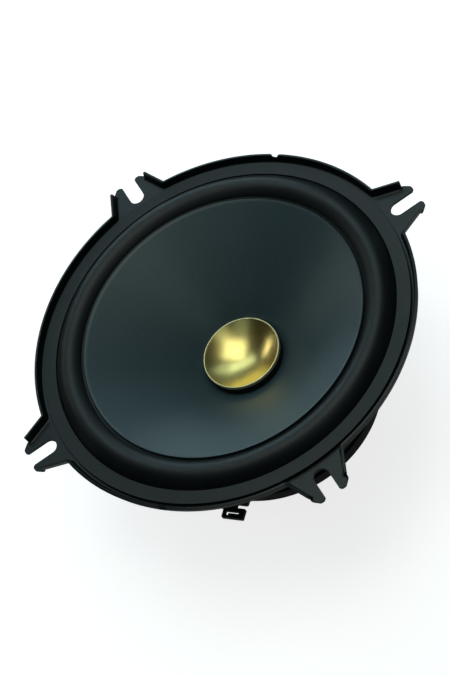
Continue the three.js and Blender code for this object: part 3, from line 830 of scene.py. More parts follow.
def build_plate_rivets():
    """The rivets that hold the basket on the top plate, set out on their circle."""
    s = bpy.context.scene.speaker_motor
    base_top = bpy.context.scene.speaker_basket.base_top
    material = finish("black_plating")
    shank, foot = 1.5 * MM, -2.4 * MM
    outline = rivet_outline(s.rivet_head, s.rivet_height, shank, foot, 0.0)
    pattern = turned("rivet_pattern", outline, material, steps=40)
    shape = Shape("rivet_circle")
    circle, height, first = shape.lengths(
        circle_radius=s.rivet_circle, level=base_top + GLUE, first_angle=math.pi / s.rivet_count
    )
    count = shape.input("Count", "Int", s.rivet_count)
    rivet = shape.input("Rivet", "Object", pattern)
    points = shape.node("GeometryNodeMeshCircle", inputs={"Vertices": count, "Radius": circle})
    up = shape.node("ShaderNodeCombineXYZ", inputs=(0.0, 0.0, height))
    turn = shape.node("ShaderNodeCombineXYZ", inputs=(0.0, 0.0, first))
    placed = {"Geometry": points, "Translation": up, "Rotation": turn}
    points = shape.node("GeometryNodeTransform", inputs=placed)
    body = shape.node("GeometryNodeObjectInfo", inputs={"Object": rivet}, output="Geometry")
    inputs = {"Points": points, "Instance": body}
    spread = shape.node("GeometryNodeInstanceOnPoints", inputs=inputs)
    piece = shape.build("plate_rivets", spread, material)
    bpy.data.objects.remove(pattern)
    names = [f"plate_rivet_{i + 1}" for i in range(6)]
    settle(piece, "black_plating", "frame", *names)


# ---- Basket ----------------------------------------------------------------------------------


class BasketSheet:
    """The front skin of the pressed sheet, made quarter by quarter."""

    ring_shares = (0.0, 0.15, 0.3, 0.45, 0.62, 0.8, 1.0)
    support = 0.3 * MM  # flat strip left before a bend, so the flat stays flat in the light
    margin = 1.2 * MM  # slope kept inside and outside the windows
    bead_fade = 2.6 * MM  # length over which a bead rises at each of its ends
    halvings = 30  # steps of the search for a window's edge

    def __init__(self, sizes):
        self.s = sizes
        self.bm = bmesh.new()
        self.patch_inner = sizes.window_inner - self.margin
        self.patch_outer = sizes.window_outer + self.margin
        self.flat_inner = sizes.cup_radius + sizes.cup_bend + self.support

    def slope_height(self, radius):
        """Front of the straight slope between the shelf and the cup."""
        s = self.s
        share = (radius - s.shelf_outer) / (s.cup_radius - s.shelf_outer)
        return s.shelf_top + (s.cup_foot - s.shelf_top) * share

    def turned_parts(self, turns):
        """The parts of the sheet that are the same all round, below and above the windows."""
        s = self.s
        inner = [
            (s.base_bore, s.base_top),
            (s.base_radius, s.base_top, 1.2 * MM),
            (s.shelf_inner, s.shelf_top, 1.2 * MM),
            (s.shelf_outer, s.shelf_top, 1.2 * MM),
            (self.patch_inner, self.slope_height(self.patch_inner)),
        ]
        outer = [
            (self.patch_outer, self.slope_height(self.patch_outer)),
            (s.cup_radius, s.cup_foot, 2.2 * MM),
            (s.cup_radius, s.flange_front, s.cup_bend),
            (self.flat_inner, s.flange_front),
        ]
        for part in (inner, outer):
            profile = rounded(part, 0.0, closed=False, steps=6)
            add_grid(self.bm, spun(profile, 0.0, QUARTER_TURN, QUARTER_COLUMNS), turns)

    def window_gap(self, spot):
        """Under 0 inside a rounded window, over 0 outside it; spot is (radius, angle)."""
        s = self.s
        radius, angle = spot
        half = s.spoke_width / 2
        aside = (half - radius * math.cos(angle), half - radius * math.sin(angle))
        sides = (radius - s.window_outer, s.window_inner - radius, *aside)
        over = [max(0.0, side + s.window_corner) for side in sides]
        return math.sqrt(sum(value * value for value in over)) - s.window_corner

    def window_edge(self, centre, spot):
        """Where the line from the window's centre to a spot crosses the window's edge."""
        near, far = 0.0, 1.0
        for _ in range(self.halvings):
            middle = (near + far) / 2
            if self.window_gap(centre.lerp(spot, middle)) < 0:
                near = middle
            else:
                far = middle
        return centre.lerp(spot, near)

    def on_slope(self, spot):
        """The point on the slope at (radius, angle), pushed back along the spoke's bead."""
        s = self.s
        radius, angle = spot
        steep = math.atan2(s.cup_foot - s.shelf_top, s.cup_radius - s.shelf_outer)
        aside = radius * min(abs(math.cos(angle)), abs(math.sin(angle)))
        depth = s.bead_depth * ease(1 - aside / s.bead_half)
        for end in (radius - self.patch_inner, self.patch_outer - radius):
            depth *= ease(end / self.bead_fade)
        out = radius + depth * math.sin(steep)
        height = self.slope_height(radius) - depth * math.cos(steep)
        return (out * math.cos(angle), out * math.sin(angle), height)

    def window_patch(self, turns):
        """A quarter of the slope, with its window."""
        columns = [QUARTER_TURN * k / QUARTER_COLUMNS for k in range(QUARTER_COLUMNS + 1)]
        side_steps = 10
        span = self.patch_outer - self.patch_inner
        climb = [self.patch_inner + span * k / side_steps for k in range(1, side_steps)]
        edge = [(self.patch_inner, a) for a in columns]
        edge += [(r, QUARTER_TURN) for r in climb]
        edge += [(self.patch_outer, a) for a in reversed(columns)]
        edge += [(r, 0.0) for r in reversed(climb)]
        outer = [Vector(spot) for spot in [*edge, edge[0]]]
        centre = Vector(((self.s.window_inner + self.s.window_outer) / 2, EIGHTH_TURN))
        inner = [self.window_edge(centre, spot) for spot in outer]
        rows = []
        for share in self.ring_shares:
            rows.append([self.on_slope(a.lerp(b, share)) for a, b in zip(outer, inner)])
        add_grid(self.bm, rows, turns)

    def ear_tip(self):
        """Plan points of half a finger pair: from the slot's round end to the end of the wall."""
        s = self.s
        half = s.slot_width / 2
        points = []
        steps = 12
        for k in range(steps + 1):
            turn = math.pi - QUARTER_TURN * k / steps
            points.append((s.slot_radius + half * math.cos(turn), half * math.sin(turn)))
        tip_inner, tip_outer = 3.3 * MM, 4.7 * MM  # sides of a finger's blunt tip
        step = s.ear_wall_end + 0.35 * MM  # just past the end of the wall
        side = s.ear_shoulder_half + (s.ear_shoulder - step) * s.ear_taper
        tip = [
            points[-1],
            (s.ear_reach - 0.8 * MM, half, 0.6 * MM),
            (s.ear_reach, tip_inner, 0.9 * MM),
            (s.ear_reach - 0.1 * MM, tip_outer, 0.9 * MM),
            (s.ear_shoulder, s.ear_shoulder_half, 1.5 * MM),
            (step, side),
        ]
        return points[:-1] + rounded(tip, 0.0, closed=False)

    def wall_path(self):
        """Half a quarter of the wall's foot: (plan point, outward direction) pairs."""
        s = self.s
        inset = s.sheet + s.rim_bend + self.support
        length = math.hypot(s.ear_taper, 1.0)
        out = Vector((s.ear_taper, 1.0)) / length
        along = Vector((-out.y, out.x))
        offset = out.dot(Vector((s.ear_shoulder, s.ear_shoulder_half))) - inset
        foot_radius = s.rim_radius - inset
        fillet = s.ear_root_radius
        reach = math.sqrt((foot_radius + fillet) ** 2 - (offset + fillet) ** 2)
        centre = out * (offset + fillet) - along * reach
        touch = centre - out * fillet
        end = Vector((s.ear_wall_end, (offset - out.x * s.ear_wall_end) / out.y))
        pairs = [(end.lerp(touch, k / 8), out) for k in range(9)]
        start_turn = math.atan2(-out.y, -out.x)
        end_turn = math.atan2(-centre.y, -centre.x)
        for k in range(1, 8):
            turn = start_turn + (end_turn - start_turn) * k / 7
            spoke = Vector((math.cos(turn), math.sin(turn)))
            pairs.append((centre + spoke * fillet, -spoke))
        first = math.atan2(centre.y, centre.x)
        notch = s.notch_width / 2 / s.rim_radius
        last = EIGHTH_TURN - notch * 1.25  # a column close beside the notch keeps its side steep
        steps = 30
        angles = [first + (last - first) * k / steps for k in range(1, steps + 1)]
        angles += [EIGHTH_TURN - notch, EIGHTH_TURN]
        for angle in angles:
            spoke = Vector((math.cos(angle), math.sin(angle)))
            pairs.append((spoke * foot_radius, spoke))
        return pairs

    def quarter(self, turns):
        """A quarter of the flat flange, with half an ear at each end, and its turned-up wall."""
        s = self.s

        def swap(spot):
            return Vector((spot.y, spot.x))

        half = self.wall_path()
        whole = half + [(swap(p), swap(n)) for p, n in reversed(half[:-1])]
        tip = [Vector(point) for point in self.ear_tip()]
        outline = tip + [p for p, _ in whole] + [swap(p) for p in reversed(tip)]
        columns = range(QUARTER_COLUMNS, -1, -1)
        arc = [QUARTER_TURN * k / QUARTER_COLUMNS for k in columns]
        outline += [Vector((math.cos(a), math.sin(a))) * self.flat_inner for a in arc]
        turn = Matrix.Rotation(turns * QUARTER_TURN, 3, "Z")
        corners = [self.bm.verts.new(turn @ Vector((*p, s.flange_front))) for p in outline]
        self.bm.faces.new(corners)
        self.wall(whole, turns)

    def wall(self, path, turns):
        """The bend and the turned-up wall along a quarter's path."""
        s = self.s
        stations = [(0.0, 0.0), (self.support, 0.0)]
        for k in range(1, 5):
            turn = QUARTER_TURN * k / 4
            lift = s.rim_bend * (1 - math.cos(turn))
            stations.append((self.support + s.rim_bend * math.sin(turn), lift))
        foot = stations[-1][0]
        height = s.rim_top - s.flange_front
        below_notch = height - s.notch_depth - 0.3 * MM
        for lift in (below_notch, height):
            lean = s.rim_flare * (lift - s.rim_bend) / (height - s.rim_bend)
            stations.append((foot + lean, lift))
        notched = turns in (0, 2)
        half_notch = s.notch_width / 2 / s.rim_radius * 1.05
        rows = []
        for out, lift in stations:
            row = []
            for point, away in path:
                spot = point + away * out
                near = abs(math.atan2(point.y, point.x) - EIGHTH_TURN) < half_notch
                drop = s.notch_depth if notched and near and lift >= height else 0.0
                row.append((spot.x, spot.y, s.flange_front + lift - drop))
            rows.append(row)
        add_grid(self.bm, rows, turns)

    def build(self, name, material):
        """All four quarters, joined and thickened."""
        for turns in range(4):
            self.turned_parts(turns)
            self.window_patch(turns)
            self.quarter(turns)
        piece = new_object(name, mesh_from(self.bm, name, upward=True), material)
        thickened(piece, self.s.sheet, 0.14 * MM)
        return piece


def build_basket():
    """The pressed steel basket, one sheet."""
    sheet = BasketSheet(bpy.context.scene.speaker_basket)
    piece = sheet.build("pressed_basket", finish("black_paint"))
    settle(piece, "black_paint", "frame", "basket")


# ---- Suspension and cone ---------------------------------------------------------------------


def cone_height(s, radius):
    """Height of the cone's front face."""
    share = max(0.0, (radius - s.neck_radius) / (s.edge_radius - s.neck_radius))
    return s.neck_top + (s.edge_top - s.neck_top) * share**s.curve


def build_cone():
    """The cone and its neck, with a small soft edge where it meets the surround."""
    s = bpy.context.scene.speaker_cone
    steps = 40
    span = s.edge_radius - s.neck_radius
    radii = [s.neck_radius + span * (k / steps) ** 1.3 for k in range(steps + 1)]
    upper = [(r, cone_height(s, r)) for r in radii]
    neck_outer = s.neck_radius + s.neck_wall
    lower = [(r, cone_height(s, r) - s.thickness) for r in radii if r > neck_outer + 0.4 * MM]
    edge = 0.18 * MM  # radius of the soft outer edge
    upper[-1] = (s.edge_radius - edge, cone_height(s, s.edge_radius - edge))
    rim_top = s.edge_top - edge * 0.9
    outline = [
        (s.neck_radius, s.neck_bottom),
        (neck_outer, s.neck_bottom),
        (neck_outer, s.neck_top - s.thickness * 0.4),
        *lower[:-1],
        (s.edge_radius - edge, lower[-1][1]),
        (s.edge_radius, lower[-1][1] + edge),
        (s.edge_radius, rim_top - edge * 0.5),
        (s.edge_radius - edge * 0.4, rim_top + edge * 0.4),
        *reversed(upper),
    ]
    piece = turned("cone_body", outline, finish("cone_film"), steps=FACE_STEPS)
    settle(piece, "cone_film", "cone_assembly", "cone")


def build_surround():
    """The rubber ring: a landing on the flange, a round roll and a lip under the cone."""
    s = bpy.context.scene.speaker_cone
    flange = bpy.context.scene.speaker_basket.flange_front
    steps = 28
    half = s.rubber / 2
    landing_bottom = flange + GLUE
    landing_top = landing_bottom + s.rubber
    inner_foot = s.roll_inner_top - half
    outer_foot = landing_top - half
    over, under = [], []
    for k in range(1, steps):
        t = (1 - math.cos(math.pi * k / steps)) / 2
        radius = s.roll_inner + (s.landing_inner - s.roll_inner) * t
        swell = math.sin(math.pi * t) ** 0.85
        middle = inner_foot + (outer_foot - inner_foot) * t + s.roll_height * swell
        over.append((radius, middle + half))
        under.append((radius, middle - half))
    lip_outer = s.edge_radius + GLUE
    lip_inner = s.edge_radius - s.lip_width
    lip_gap = s.thickness + GLUE
    lip = [(lip_outer, cone_height(s, s.edge_radius) - lip_gap)]
    lip += [(r, cone_height(s, r) - lip_gap) for r in (lip_inner + s.lip_width / 2, lip_inner)]
    outline = [
        (s.landing_inner, landing_bottom),
        (s.landing_outer, landing_bottom),
        (s.landing_outer, landing_top),
        (s.landing_inner, landing_top),
        *reversed(over),
        (s.roll_inner, s.roll_inner_top),
        *lip,
        *[(r, z - s.rubber) for r, z in reversed(lip)],
        (s.roll_inner, s.roll_inner_top - s.rubber),
        *under,
    ]
    piece = turned("rubber_surround", outline, finish("black_rubber"), steps=FACE_STEPS)
    span = s.landing_inner - s.roll_inner

    def share(point):
        return 1 - ease((math.hypot(point.x, point.y) - s.roll_inner) / span)

    start, end = (s.landing_inner, 0.0, flange), (s.roll_inner, 0.0, flange)
    stretch(piece, "black_rubber", "surround", start, end, share)


def build_gasket():
    """The flat ring that covers the surround's landing."""
    s = bpy.context.scene.speaker_cone
    outline = [
        (s.landing_inner, s.gasket_bottom),
        (s.gasket_outer, s.gasket_bottom),
        (s.gasket_outer, s.gasket_top),
        (s.landing_inner, s.gasket_top),
    ]
    piece = turned("gasket", rounded(outline, 0.16 * MM), finish("black_rubber"), steps=FACE_STEPS)
    settle(piece, "black_rubber", "frame", "gasket_ring")


def collar_outside():
    """Radius just clear of the paper collar's outside."""
    c = bpy.context.scene.speaker_coil
    return c.former_inner + c.former_wall + c.collar_wall + 2 * GLUE


def build_spider():
    """The corrugated cloth ring that centres the voice coil."""
    s = bpy.context.scene.speaker_coil
    material = finish("spider_cloth")
    inner_radius = collar_outside()
    shape = Shape("corrugated_ring")
    inner, outer, start, end, height, bottom = shape.lengths(
        inner_radius=inner_radius,
        outer_radius=s.spider_outer,
        waves_from=s.spider_wave_start,
        waves_to=s.spider_wave_end,
        wave_height=s.spider_amplitude,
        level=s.spider_bottom + s.spider_cloth,
    )
    waves = shape.input("Waves", "Int", s.spider_waves)
    sizes = {"Size X": 1.0, "Size Y": 1.0, "Vertices X": 121, "Vertices Y": 161}
    grid = shape.node("GeometryNodeMeshGrid", inputs=sizes)
    place = shape.node("GeometryNodeInputPosition")
    split = shape.node("ShaderNodeSeparateXYZ", inputs=(place,)).socket.node
    across, round_ = (Value(shape, split.outputs[i]) + 0.5 for i in range(2))
    radius = inner + across * (outer - inner)
    turn = round_ * (2 * math.pi)
    phase = shape.node("ShaderNodeMapRange", inputs=(radius, start, end, 0.0, 1.0))
    swing = (phase * waves * (2 * math.pi)).math("COSINE")
    wave = bottom + height * (0.5 - swing * 0.5)
    parts = (radius * turn.math("COSINE"), radius * turn.math("SINE"), wave)
    spot = shape.node("ShaderNodeCombineXYZ", inputs=parts)
    bent = shape.node("GeometryNodeSetPosition", inputs={"Geometry": grid, "Position": spot})
    inputs = {"Geometry": bent, "Distance": MERGE}
    closed = shape.node("GeometryNodeMergeByDistance", inputs=inputs)
    piece = shape.build("corrugated_spider", closed, material)
    bm = bmesh.new()
    bm.from_mesh(piece.data)
    piece.data = mesh_from(bm, piece.name, upward=True)
    thickened(piece, s.spider_cloth, 0.08 * MM, segments=1)
    span = s.spider_wave_end - s.spider_wave_start

    def share(point):
        return 1 - ease((math.hypot(point.x, point.y) - s.spider_wave_start) / span)

    fixed, moving = ((r, 0.0, s.spider_bottom) for r in (s.spider_outer, inner_radius))
    stretch(piece, "spider_cloth", "spider", fixed, moving, share)


# ---- Voice coil and cap ----------------------------------------------------------------------


def build_cap():
    """The dished cap: a shallow bowl, a rolled rim and a short skirt."""
    s = bpy.context.scene.speaker_coil
    bowl = s.cap_radius - s.cap_wall
    floor = s.cap_top - s.cap_dish
    steps = 28
    shares = [k / steps for k in range(steps + 1)]
    roll = s.cap_wall / 2
    depth = s.cap_dish - roll * 0.6
    inside = [(bowl * t, floor + depth * t * t) for t in shares]
    skirt = s.cap_top - s.cap_skirt
    back, rise = floor - s.cap_wall, depth - 0.7 * MM
    outside = [((bowl - s.cap_wall) * t, back + rise * t * t) for t in shares]
    rim = []
    for k in range(1, 9):
        turn = math.pi * k / 9
        rim.append((bowl + roll + roll * math.cos(turn), s.cap_top - roll + roll * math.sin(turn)))
    outline = [
        *outside,
        (s.former_inner - GLUE, skirt),
        (s.cap_radius - 0.08 * MM, skirt),
        (s.cap_radius, skirt + 0.1 * MM),
        (s.cap_radius, s.cap_top - roll),
        *rim,
        *reversed(inside),
    ]
    piece = turned("dished_cap", outline, finish("gold_anodise"))
    settle(piece, "gold_anodise", "cone_assembly", "dust_cap")


def build_coil():
    """Former, winding and collar: the tube that joins the cone to the magnet's gap."""
    s = bpy.context.scene.speaker_coil
    shelf = bpy.context.scene.speaker_basket.shelf_top
    former_outer = s.former_inner + s.former_wall
    tube = [
        (s.former_inner, s.former_bottom),
        (former_outer, s.former_bottom),
        (former_outer, s.former_top),
        (s.former_inner, s.former_top),
    ]
    piece = turned("coil_former", rounded(tube, 0.05 * MM), finish("former_film"))
    settle(piece, "former_film", "cone_assembly", "voice_coil_former")
    inner = former_outer + GLUE
    paper = [
        (inner, shelf),
        (inner + s.collar_wall, shelf),
        (inner + s.collar_wall, s.former_top),
        (inner, s.former_top),
    ]
    piece = turned("paper_collar", rounded(paper, 0.08 * MM), finish("black_paper"))
    settle(piece, "black_paper", "cone_assembly", "former_collar")
    turns = round((s.winding_top - s.winding_bottom) / s.wire)
    outer = inner + s.winding_wall
    ridge = []
    for k in range(turns):
        foot = s.winding_bottom + k * s.wire
        for turn in (0.15, 0.5, 0.85):
            out = outer - s.wire / 2 * (1 - math.sin(math.pi * turn))
            ridge.append((out, foot + s.wire * turn))
    outline = [(inner, s.winding_bottom), *ridge, (inner, s.winding_top)]
    piece = turned("coil_winding", outline, finish("coil_copper"), steps=96)
    settle(piece, "coil_copper", "cone_assembly", "voice_coil_winding")


# ---- Terminals and leads ---------------------------------------------------------------------

BOARD_ANGLE = math.radians(225)
PAD_SPREAD = math.radians(16)
BOARD_TURN = Matrix.Rotation(BOARD_ANGLE, 4, "Z")


def on_board(out, side):
    """A plan point from its distance out along the board and its distance to the side."""
    return (BOARD_TURN @ Vector((out, side, 0.0))).to_2d()


def build_board():
    """The fibre board, with the open hook that holds the cable."""
    s = bpy.context.scene.speaker_terminals
    half = s.board_half
    hook_side = s.hook_start + s.hook_neck
    outline = [
        (s.board_inner, -half, 1.2 * MM),
        (s.board_outer, -half, 1.2 * MM),
        (s.board_outer, s.hook_start, 0.3 * MM),
        (s.hook_outer, s.hook_start, 0.35 * MM),
        (s.hook_outer, s.hook_end, 0.35 * MM),
        (s.hook_inner, s.hook_end, 0.35 * MM),
        (s.hook_inner, hook_side, 0.2 * MM),
        (s.board_outer, hook_side, 0.2 * MM),
        (s.board_outer, half, 0.8 * MM),
        (s.board_inner, half, 1.2 * MM),
    ]
    bar, slit, heel = 0.95 * MM, 0.8 * MM, 1.9 * MM  # of the hook: side, gap and closed end
    start_out = s.hook_inner + bar + 0.3 * MM
    start_side = s.hook_start + bar
    hole = [
        (start_out, start_side),
        (s.hook_outer - bar, start_side),
        (s.hook_outer - bar, start_side + slit + 0.4 * MM),
        (start_out + slit, start_side + slit + 0.4 * MM),
        (start_out + slit, s.hook_end - heel),
        (start_out, s.hook_end - heel),
    ]
    outlines = [rounded(outline, 0.0, steps=3), rounded(hole, 0.12 * MM, steps=2)]
    material = finish("board_black")
    piece = flat_plate("fibre_board", outlines, s.board_bottom, s.board_top, 0.1 * MM, material)
    piece.data.transform(BOARD_TURN)
    settle(piece, "board_black", "frame", "terminal_board")


def two_headed(name, node, shank, head, height, bottom, top, place):
    """A tubular rivet with a head at each end, set at a plan point."""
    hollow = shank * 0.45
    outline = [
        (0.0, bottom - height * 0.35, 0.0),
        (hollow, bottom - height * 0.35),
        (hollow + 0.12 * MM, bottom - height),
        (head * 0.8, bottom - height),
        (head, bottom - height * 0.5),
        (head, bottom),
        (shank, bottom),
        (shank, top),
        (head, top),
        (head, top + height * 0.45),
        (head * 0.6, top + height),
        (0.0, top + height, 0.0),
    ]
    piece = turned(name, rounded(outline, 0.1 * MM, steps=3), finish("tinned"), steps=36)
    piece.data.transform(Matrix.Translation((*place, 0.0)))
    settle(piece, "tinned", "frame", node)


def blade(name, node, offset, width):
    """A flat tab bent down from its foot, narrowed at its tip."""
    s = bpy.context.scene.speaker_terminals
    top = s.board_bottom - GLUE
    bend = 1.1 * MM
    outside = s.blade_at + s.blade_sheet
    path = [(s.foot_start, top), (s.foot_start + 0.5 * MM, top), (outside - bend - 0.2 * MM, top)]
    for k in range(7):
        turn = QUARTER_TURN * k / 6
        path.append((outside - bend + bend * math.sin(turn), top - bend + bend * math.cos(turn)))
    above_tip = (3.2 * MM, 1.1 * MM, 0.5 * MM, 0.0)
    path += [(outside, s.blade_bottom + height) for height in above_tip]
    last = len(path) - 1
    narrow = {0: 0.8, last - 2: 0.97, last - 1: 0.82, last: 0.62}  # share of the full width
    rows = []
    for i, (out, height) in enumerate(path):
        half = width / 2 * narrow.get(i, 1.0)
        rows.append([(out, offset + half * k / 4, height) for k in range(-4, 5)])
    bm = bmesh.new()
    add_grid(bm, rows)
    mesh = mesh_from(bm, name)
    if mesh.polygons[0].normal.z < 0:
        mesh.flip_normals()
    piece = new_object(name, mesh, finish("tinned"))
    thickened(piece, s.blade_sheet, 0.09 * MM)
    piece.data.transform(BOARD_TURN)
    settle(piece, "tinned", "frame", node)


def solder_pad(name, node, side):
    """A solder joint on the collar, domed and pulled in at its edges."""
    s = bpy.context.scene.speaker_terminals
    inner = collar_outside()
    half = s.pad_width / 2
    middle = (s.pad_bottom + s.pad_top) / 2
    tall = (s.pad_top - s.pad_bottom) / 2
    bm = bmesh.new()
    count, sides, squareness = 8, 24, 0.6
    crease = math.radians(50)
    rows = []
    for i in range(count + 1):
        tilt = QUARTER_TURN * i / count
        out = inner + s.pad_depth * math.sin(tilt)
        shrink = math.cos(tilt) ** 0.5
        row = []
        for k in range(sides + 1):
            turn = 2 * math.pi * k / sides
            across = math.copysign(abs(math.cos(turn)) ** squareness, math.cos(turn))
            up = math.copysign(abs(math.sin(turn)) ** squareness, math.sin(turn))
            row.append((out, half * across * shrink, middle + tall * up * shrink))
        rows.append(row)
    add_grid(bm, rows)
    bmesh.ops.remove_doubles(bm, verts=bm.verts, dist=MERGE)
    open_edges = [edge for edge in bm.edges if edge.is_boundary]
    bmesh.ops.holes_fill(bm, edges=open_edges)
    mesh = mesh_from(bm, name)
    mesh.set_sharp_from_angle(angle=crease)
    mesh.transform(Matrix.Rotation(BOARD_ANGLE + side * PAD_SPREAD, 4, "Z"))
    piece = new_object(name, mesh, finish("tinned"))
    settle(piece, "tinned", "cone_assembly", node)


def build_terminals():
    """The board with its rivets, and each blade with its tag rivet and its lead's solder."""
    s = bpy.context.scene.speaker_terminals
    shelf = bpy.context.scene.speaker_basket.shelf_top
    build_board()
    eyelet = (0.9 * MM, 1.5 * MM, 0.7 * MM)  # shank radius, head radius, head height
    tag_eyelet = (0.7 * MM, 1.3 * MM, 0.6 * MM)
    for i, side in enumerate((-1, 1), 1):
        place = on_board(s.board_rivet_at, side * s.board_rivet_side)
        levels = (s.board_bottom - GLUE, shelf + GLUE)
        two_headed(f"board_eyelet_{i}", f"board_rivet_{i}", *eyelet, *levels, place)
    foot = s.board_bottom - 2 * GLUE - s.blade_sheet
    for word, offset, width in blades():
        blade(f"blade_{word}", f"terminal_{word}", offset, width)
        place = on_board(s.tag_rivet_at, offset)
        levels = (foot, s.board_top + GLUE)
        two_headed(f"tag_eyelet_{word}", f"tag_rivet_{word}", *tag_eyelet, *levels, place)
        solder_pad(f"solder_{word}", f"lead_pad_{word}", -1 if word == "positive" else 1)


def blades():
    """Name, side offset and width of the two blades."""
    s = bpy.context.scene.speaker_terminals
    return [
        ("positive", -s.positive_offset, s.positive_width),
        ("negative", s.negative_offset, s.negative_width),
    ]


def lead_route(offset, side):
    """The lead's middle line: up from its rivet, over the spider and down to its pad."""
    s = bpy.context.scene.speaker_terminals
    start = on_board(s.tag_rivet_at, offset)
    start_z = s.board_top + 2 * GLUE + 0.6 * MM + s.lead_radius
    out = collar_outside() + s.pad_depth + GLUE + s.lead_radius
    angle = BOARD_ANGLE + side * PAD_SPREAD
    end = Vector((out * math.cos(angle), out * math.sin(angle)))
    end_z = (s.pad_bottom + s.pad_top) / 2
    stops = [
        (0.0, start_z),
        (0.06, start_z + 0.8 * MM),
        (0.2, start_z + 3.0 * MM),
        (0.4, start_z + 4.7 * MM),
        (0.6, start_z + 4.7 * MM),
        (0.8, end_z + 2.1 * MM),
        (0.93, end_z + 0.6 * MM),
        (1.0, end_z),
    ]
    return [Vector((*start.lerp(end, share), height)) for share, height in stops]


def smooth_route(stops, steps=12):
    """Points on a smooth curve through every stop."""
    ends = [2 * stops[0] - stops[1], *stops, 2 * stops[-1] - stops[-2]]
    points = []
    for a, b, c, d in zip(ends, ends[1:], ends[2:], ends[3:]):
        for k in range(steps):
            t = k / steps
            points.append(
                0.5 * (2 * b + (c - a) * t + (2 * a - 5 * b + 4 * c - d) * t**2
                       + (3 * b - a - 3 * c + d) * t**3)
            )
    points.append(stops[-1])
    return points


def build_leads():
    """The two braided leads, with their strands twisted round each other."""
    s = bpy.context.scene.speaker_terminals
    sides, strands = 24, 5
    twist = 2600.0  # radians of twist in a metre of lead
    crease = math.radians(60)
    for i, (word, offset, _) in enumerate(blades()):
        stops = lead_route(offset, 1 if i else -1)
        route = smooth_route(stops)
        rows = []
        travelled = 0.0
        for k, point in enumerate(route):
            before, after = route[max(k - 1, 0)], route[min(k + 1, len(route) - 1)]
            forward = (after - before).normalized()
            aside = forward.cross(Vector((0.0, 0.0, 1.0))).normalized()
            up = aside.cross(forward)
            travelled += (point - before).length
            row = []
            for j in range(sides + 1):
                turn = 2 * math.pi * j / sides
                lobe = abs(math.cos((turn - travelled * twist) * strands / 2))
                reach = s.lead_radius * (0.8 + 0.2 * lobe)
                row.append(point + aside * reach * math.cos(turn) + up * reach * math.sin(turn))
            rows.append(row)
        rows = [[route[0]] * (sides + 1), *rows, [route[-1]] * (sides + 1)]
        bm = bmesh.new()
        add_grid(bm, rows)
        mesh = mesh_from(bm, f"tinsel_{word}")
        mesh.set_sharp_from_angle(angle=crease)
        piece = new_object(f"tinsel_{word}", mesh, finish("lead_braid"))
        stretch(piece, "lead_braid", f"lead_{word}", stops[0], stops[-1])


# ---- Stage -----------------------------------------------------------------------------------

VIEW_POINT = Vector((-1.5, 3.7, 40.0)) * MM
VIEW_DISTANCE = 691.5 * MM
VIEW_AZIMUTH = math.radians(2.04)
VIEW_ELEVATION = math.radians(52.24)
VIEW_ROLL = math.radians(-36.0)
LENS = 111.8
FLOOR_HALF = 4.0
FLOOR_GLOW = 0.8  # the floor's own light, as seen
FLOOR_BOUNCE = 0.06  # and as it falls on the speaker
HORIZON = 0.24  # brightness of the studio near the horizon
OVERHEAD = 0.015  # and overhead
HORIZON_TOP = 0.12  # sine of the elevation where the horizon's light has faded
BACKDROP = 0.85  # brightness of the studio as seen past the floor


def soft_light(name, direction, distance, width, height, power, tint):
    """A rectangular softbox that looks at the speaker from a direction."""
    light = bpy.data.lights.new(name, "AREA")
    light.shape = "RECTANGLE"
    light.size = width
    light.size_y = height
    light.energy = power
    light.color = tint
    lamp = new_object(name, light)
    aim = Vector((0.0, 0.0, 0.03))
    away = Vector(direction).normalized()
    lamp.location = aim + away * distance
    lamp.rotation_euler = away.to_track_quat("Z", "Y").to_euler()


def build_camera():
    """The camera, in front of the speaker and above it, and rolled."""
    camera = bpy.data.cameras.new("camera")
    camera.lens = LENS
    camera.sensor_width = 36.0
    camera.clip_start = 0.01
    camera.clip_end = 20.0
    eye = bpy.data.objects.new("camera", camera)
    bpy.context.scene.collection.objects.link(eye)
    flat = math.cos(VIEW_ELEVATION)
    aside, towards = math.sin(VIEW_AZIMUTH), -math.cos(VIEW_AZIMUTH)
    back = Vector((flat * aside, flat * towards, math.sin(VIEW_ELEVATION)))
    eye.location = VIEW_POINT + back * VIEW_DISTANCE
    look = back.to_track_quat("Z", "Y").to_matrix().to_4x4()
    eye.rotation_euler = (look @ Matrix.Rotation(VIEW_ROLL, 4, "Z")).to_euler()
    bpy.context.scene.camera = eye


def build_floor():
    """A wide pale floor just under the back plate."""
    bm = bmesh.new()
    bmesh.ops.create_grid(bm, x_segments=1, y_segments=1, size=FLOOR_HALF)
    mesh = bpy.data.meshes.new("floor")
    bm.to_mesh(mesh)
    bm.free()
    f = Finish("floor")
    rgb = tuple(bpy.context.scene.speaker_finishes.floor)
    cloud = f.noise(3.0, 2.0)
    base = f.mix(cloud * 0.2, rgb, shade(rgb, 0.98))
    seen = f.node("ShaderNodeLightPath", output="Is Camera Ray")
    glow = f.mix(seen, (FLOOR_BOUNCE,) * 3, (FLOOR_GLOW,) * 3)
    normal = f.bump(cloud, 0.1 * MM, 0.1)
    material = f.surface(base, 0.9, normal, emission_color=glow, emission_strength=1.0)
    piece = new_object("floor", mesh, material)
    piece.data.transform(Matrix.Translation((0.0, 0.0, -0.1 * MM)))


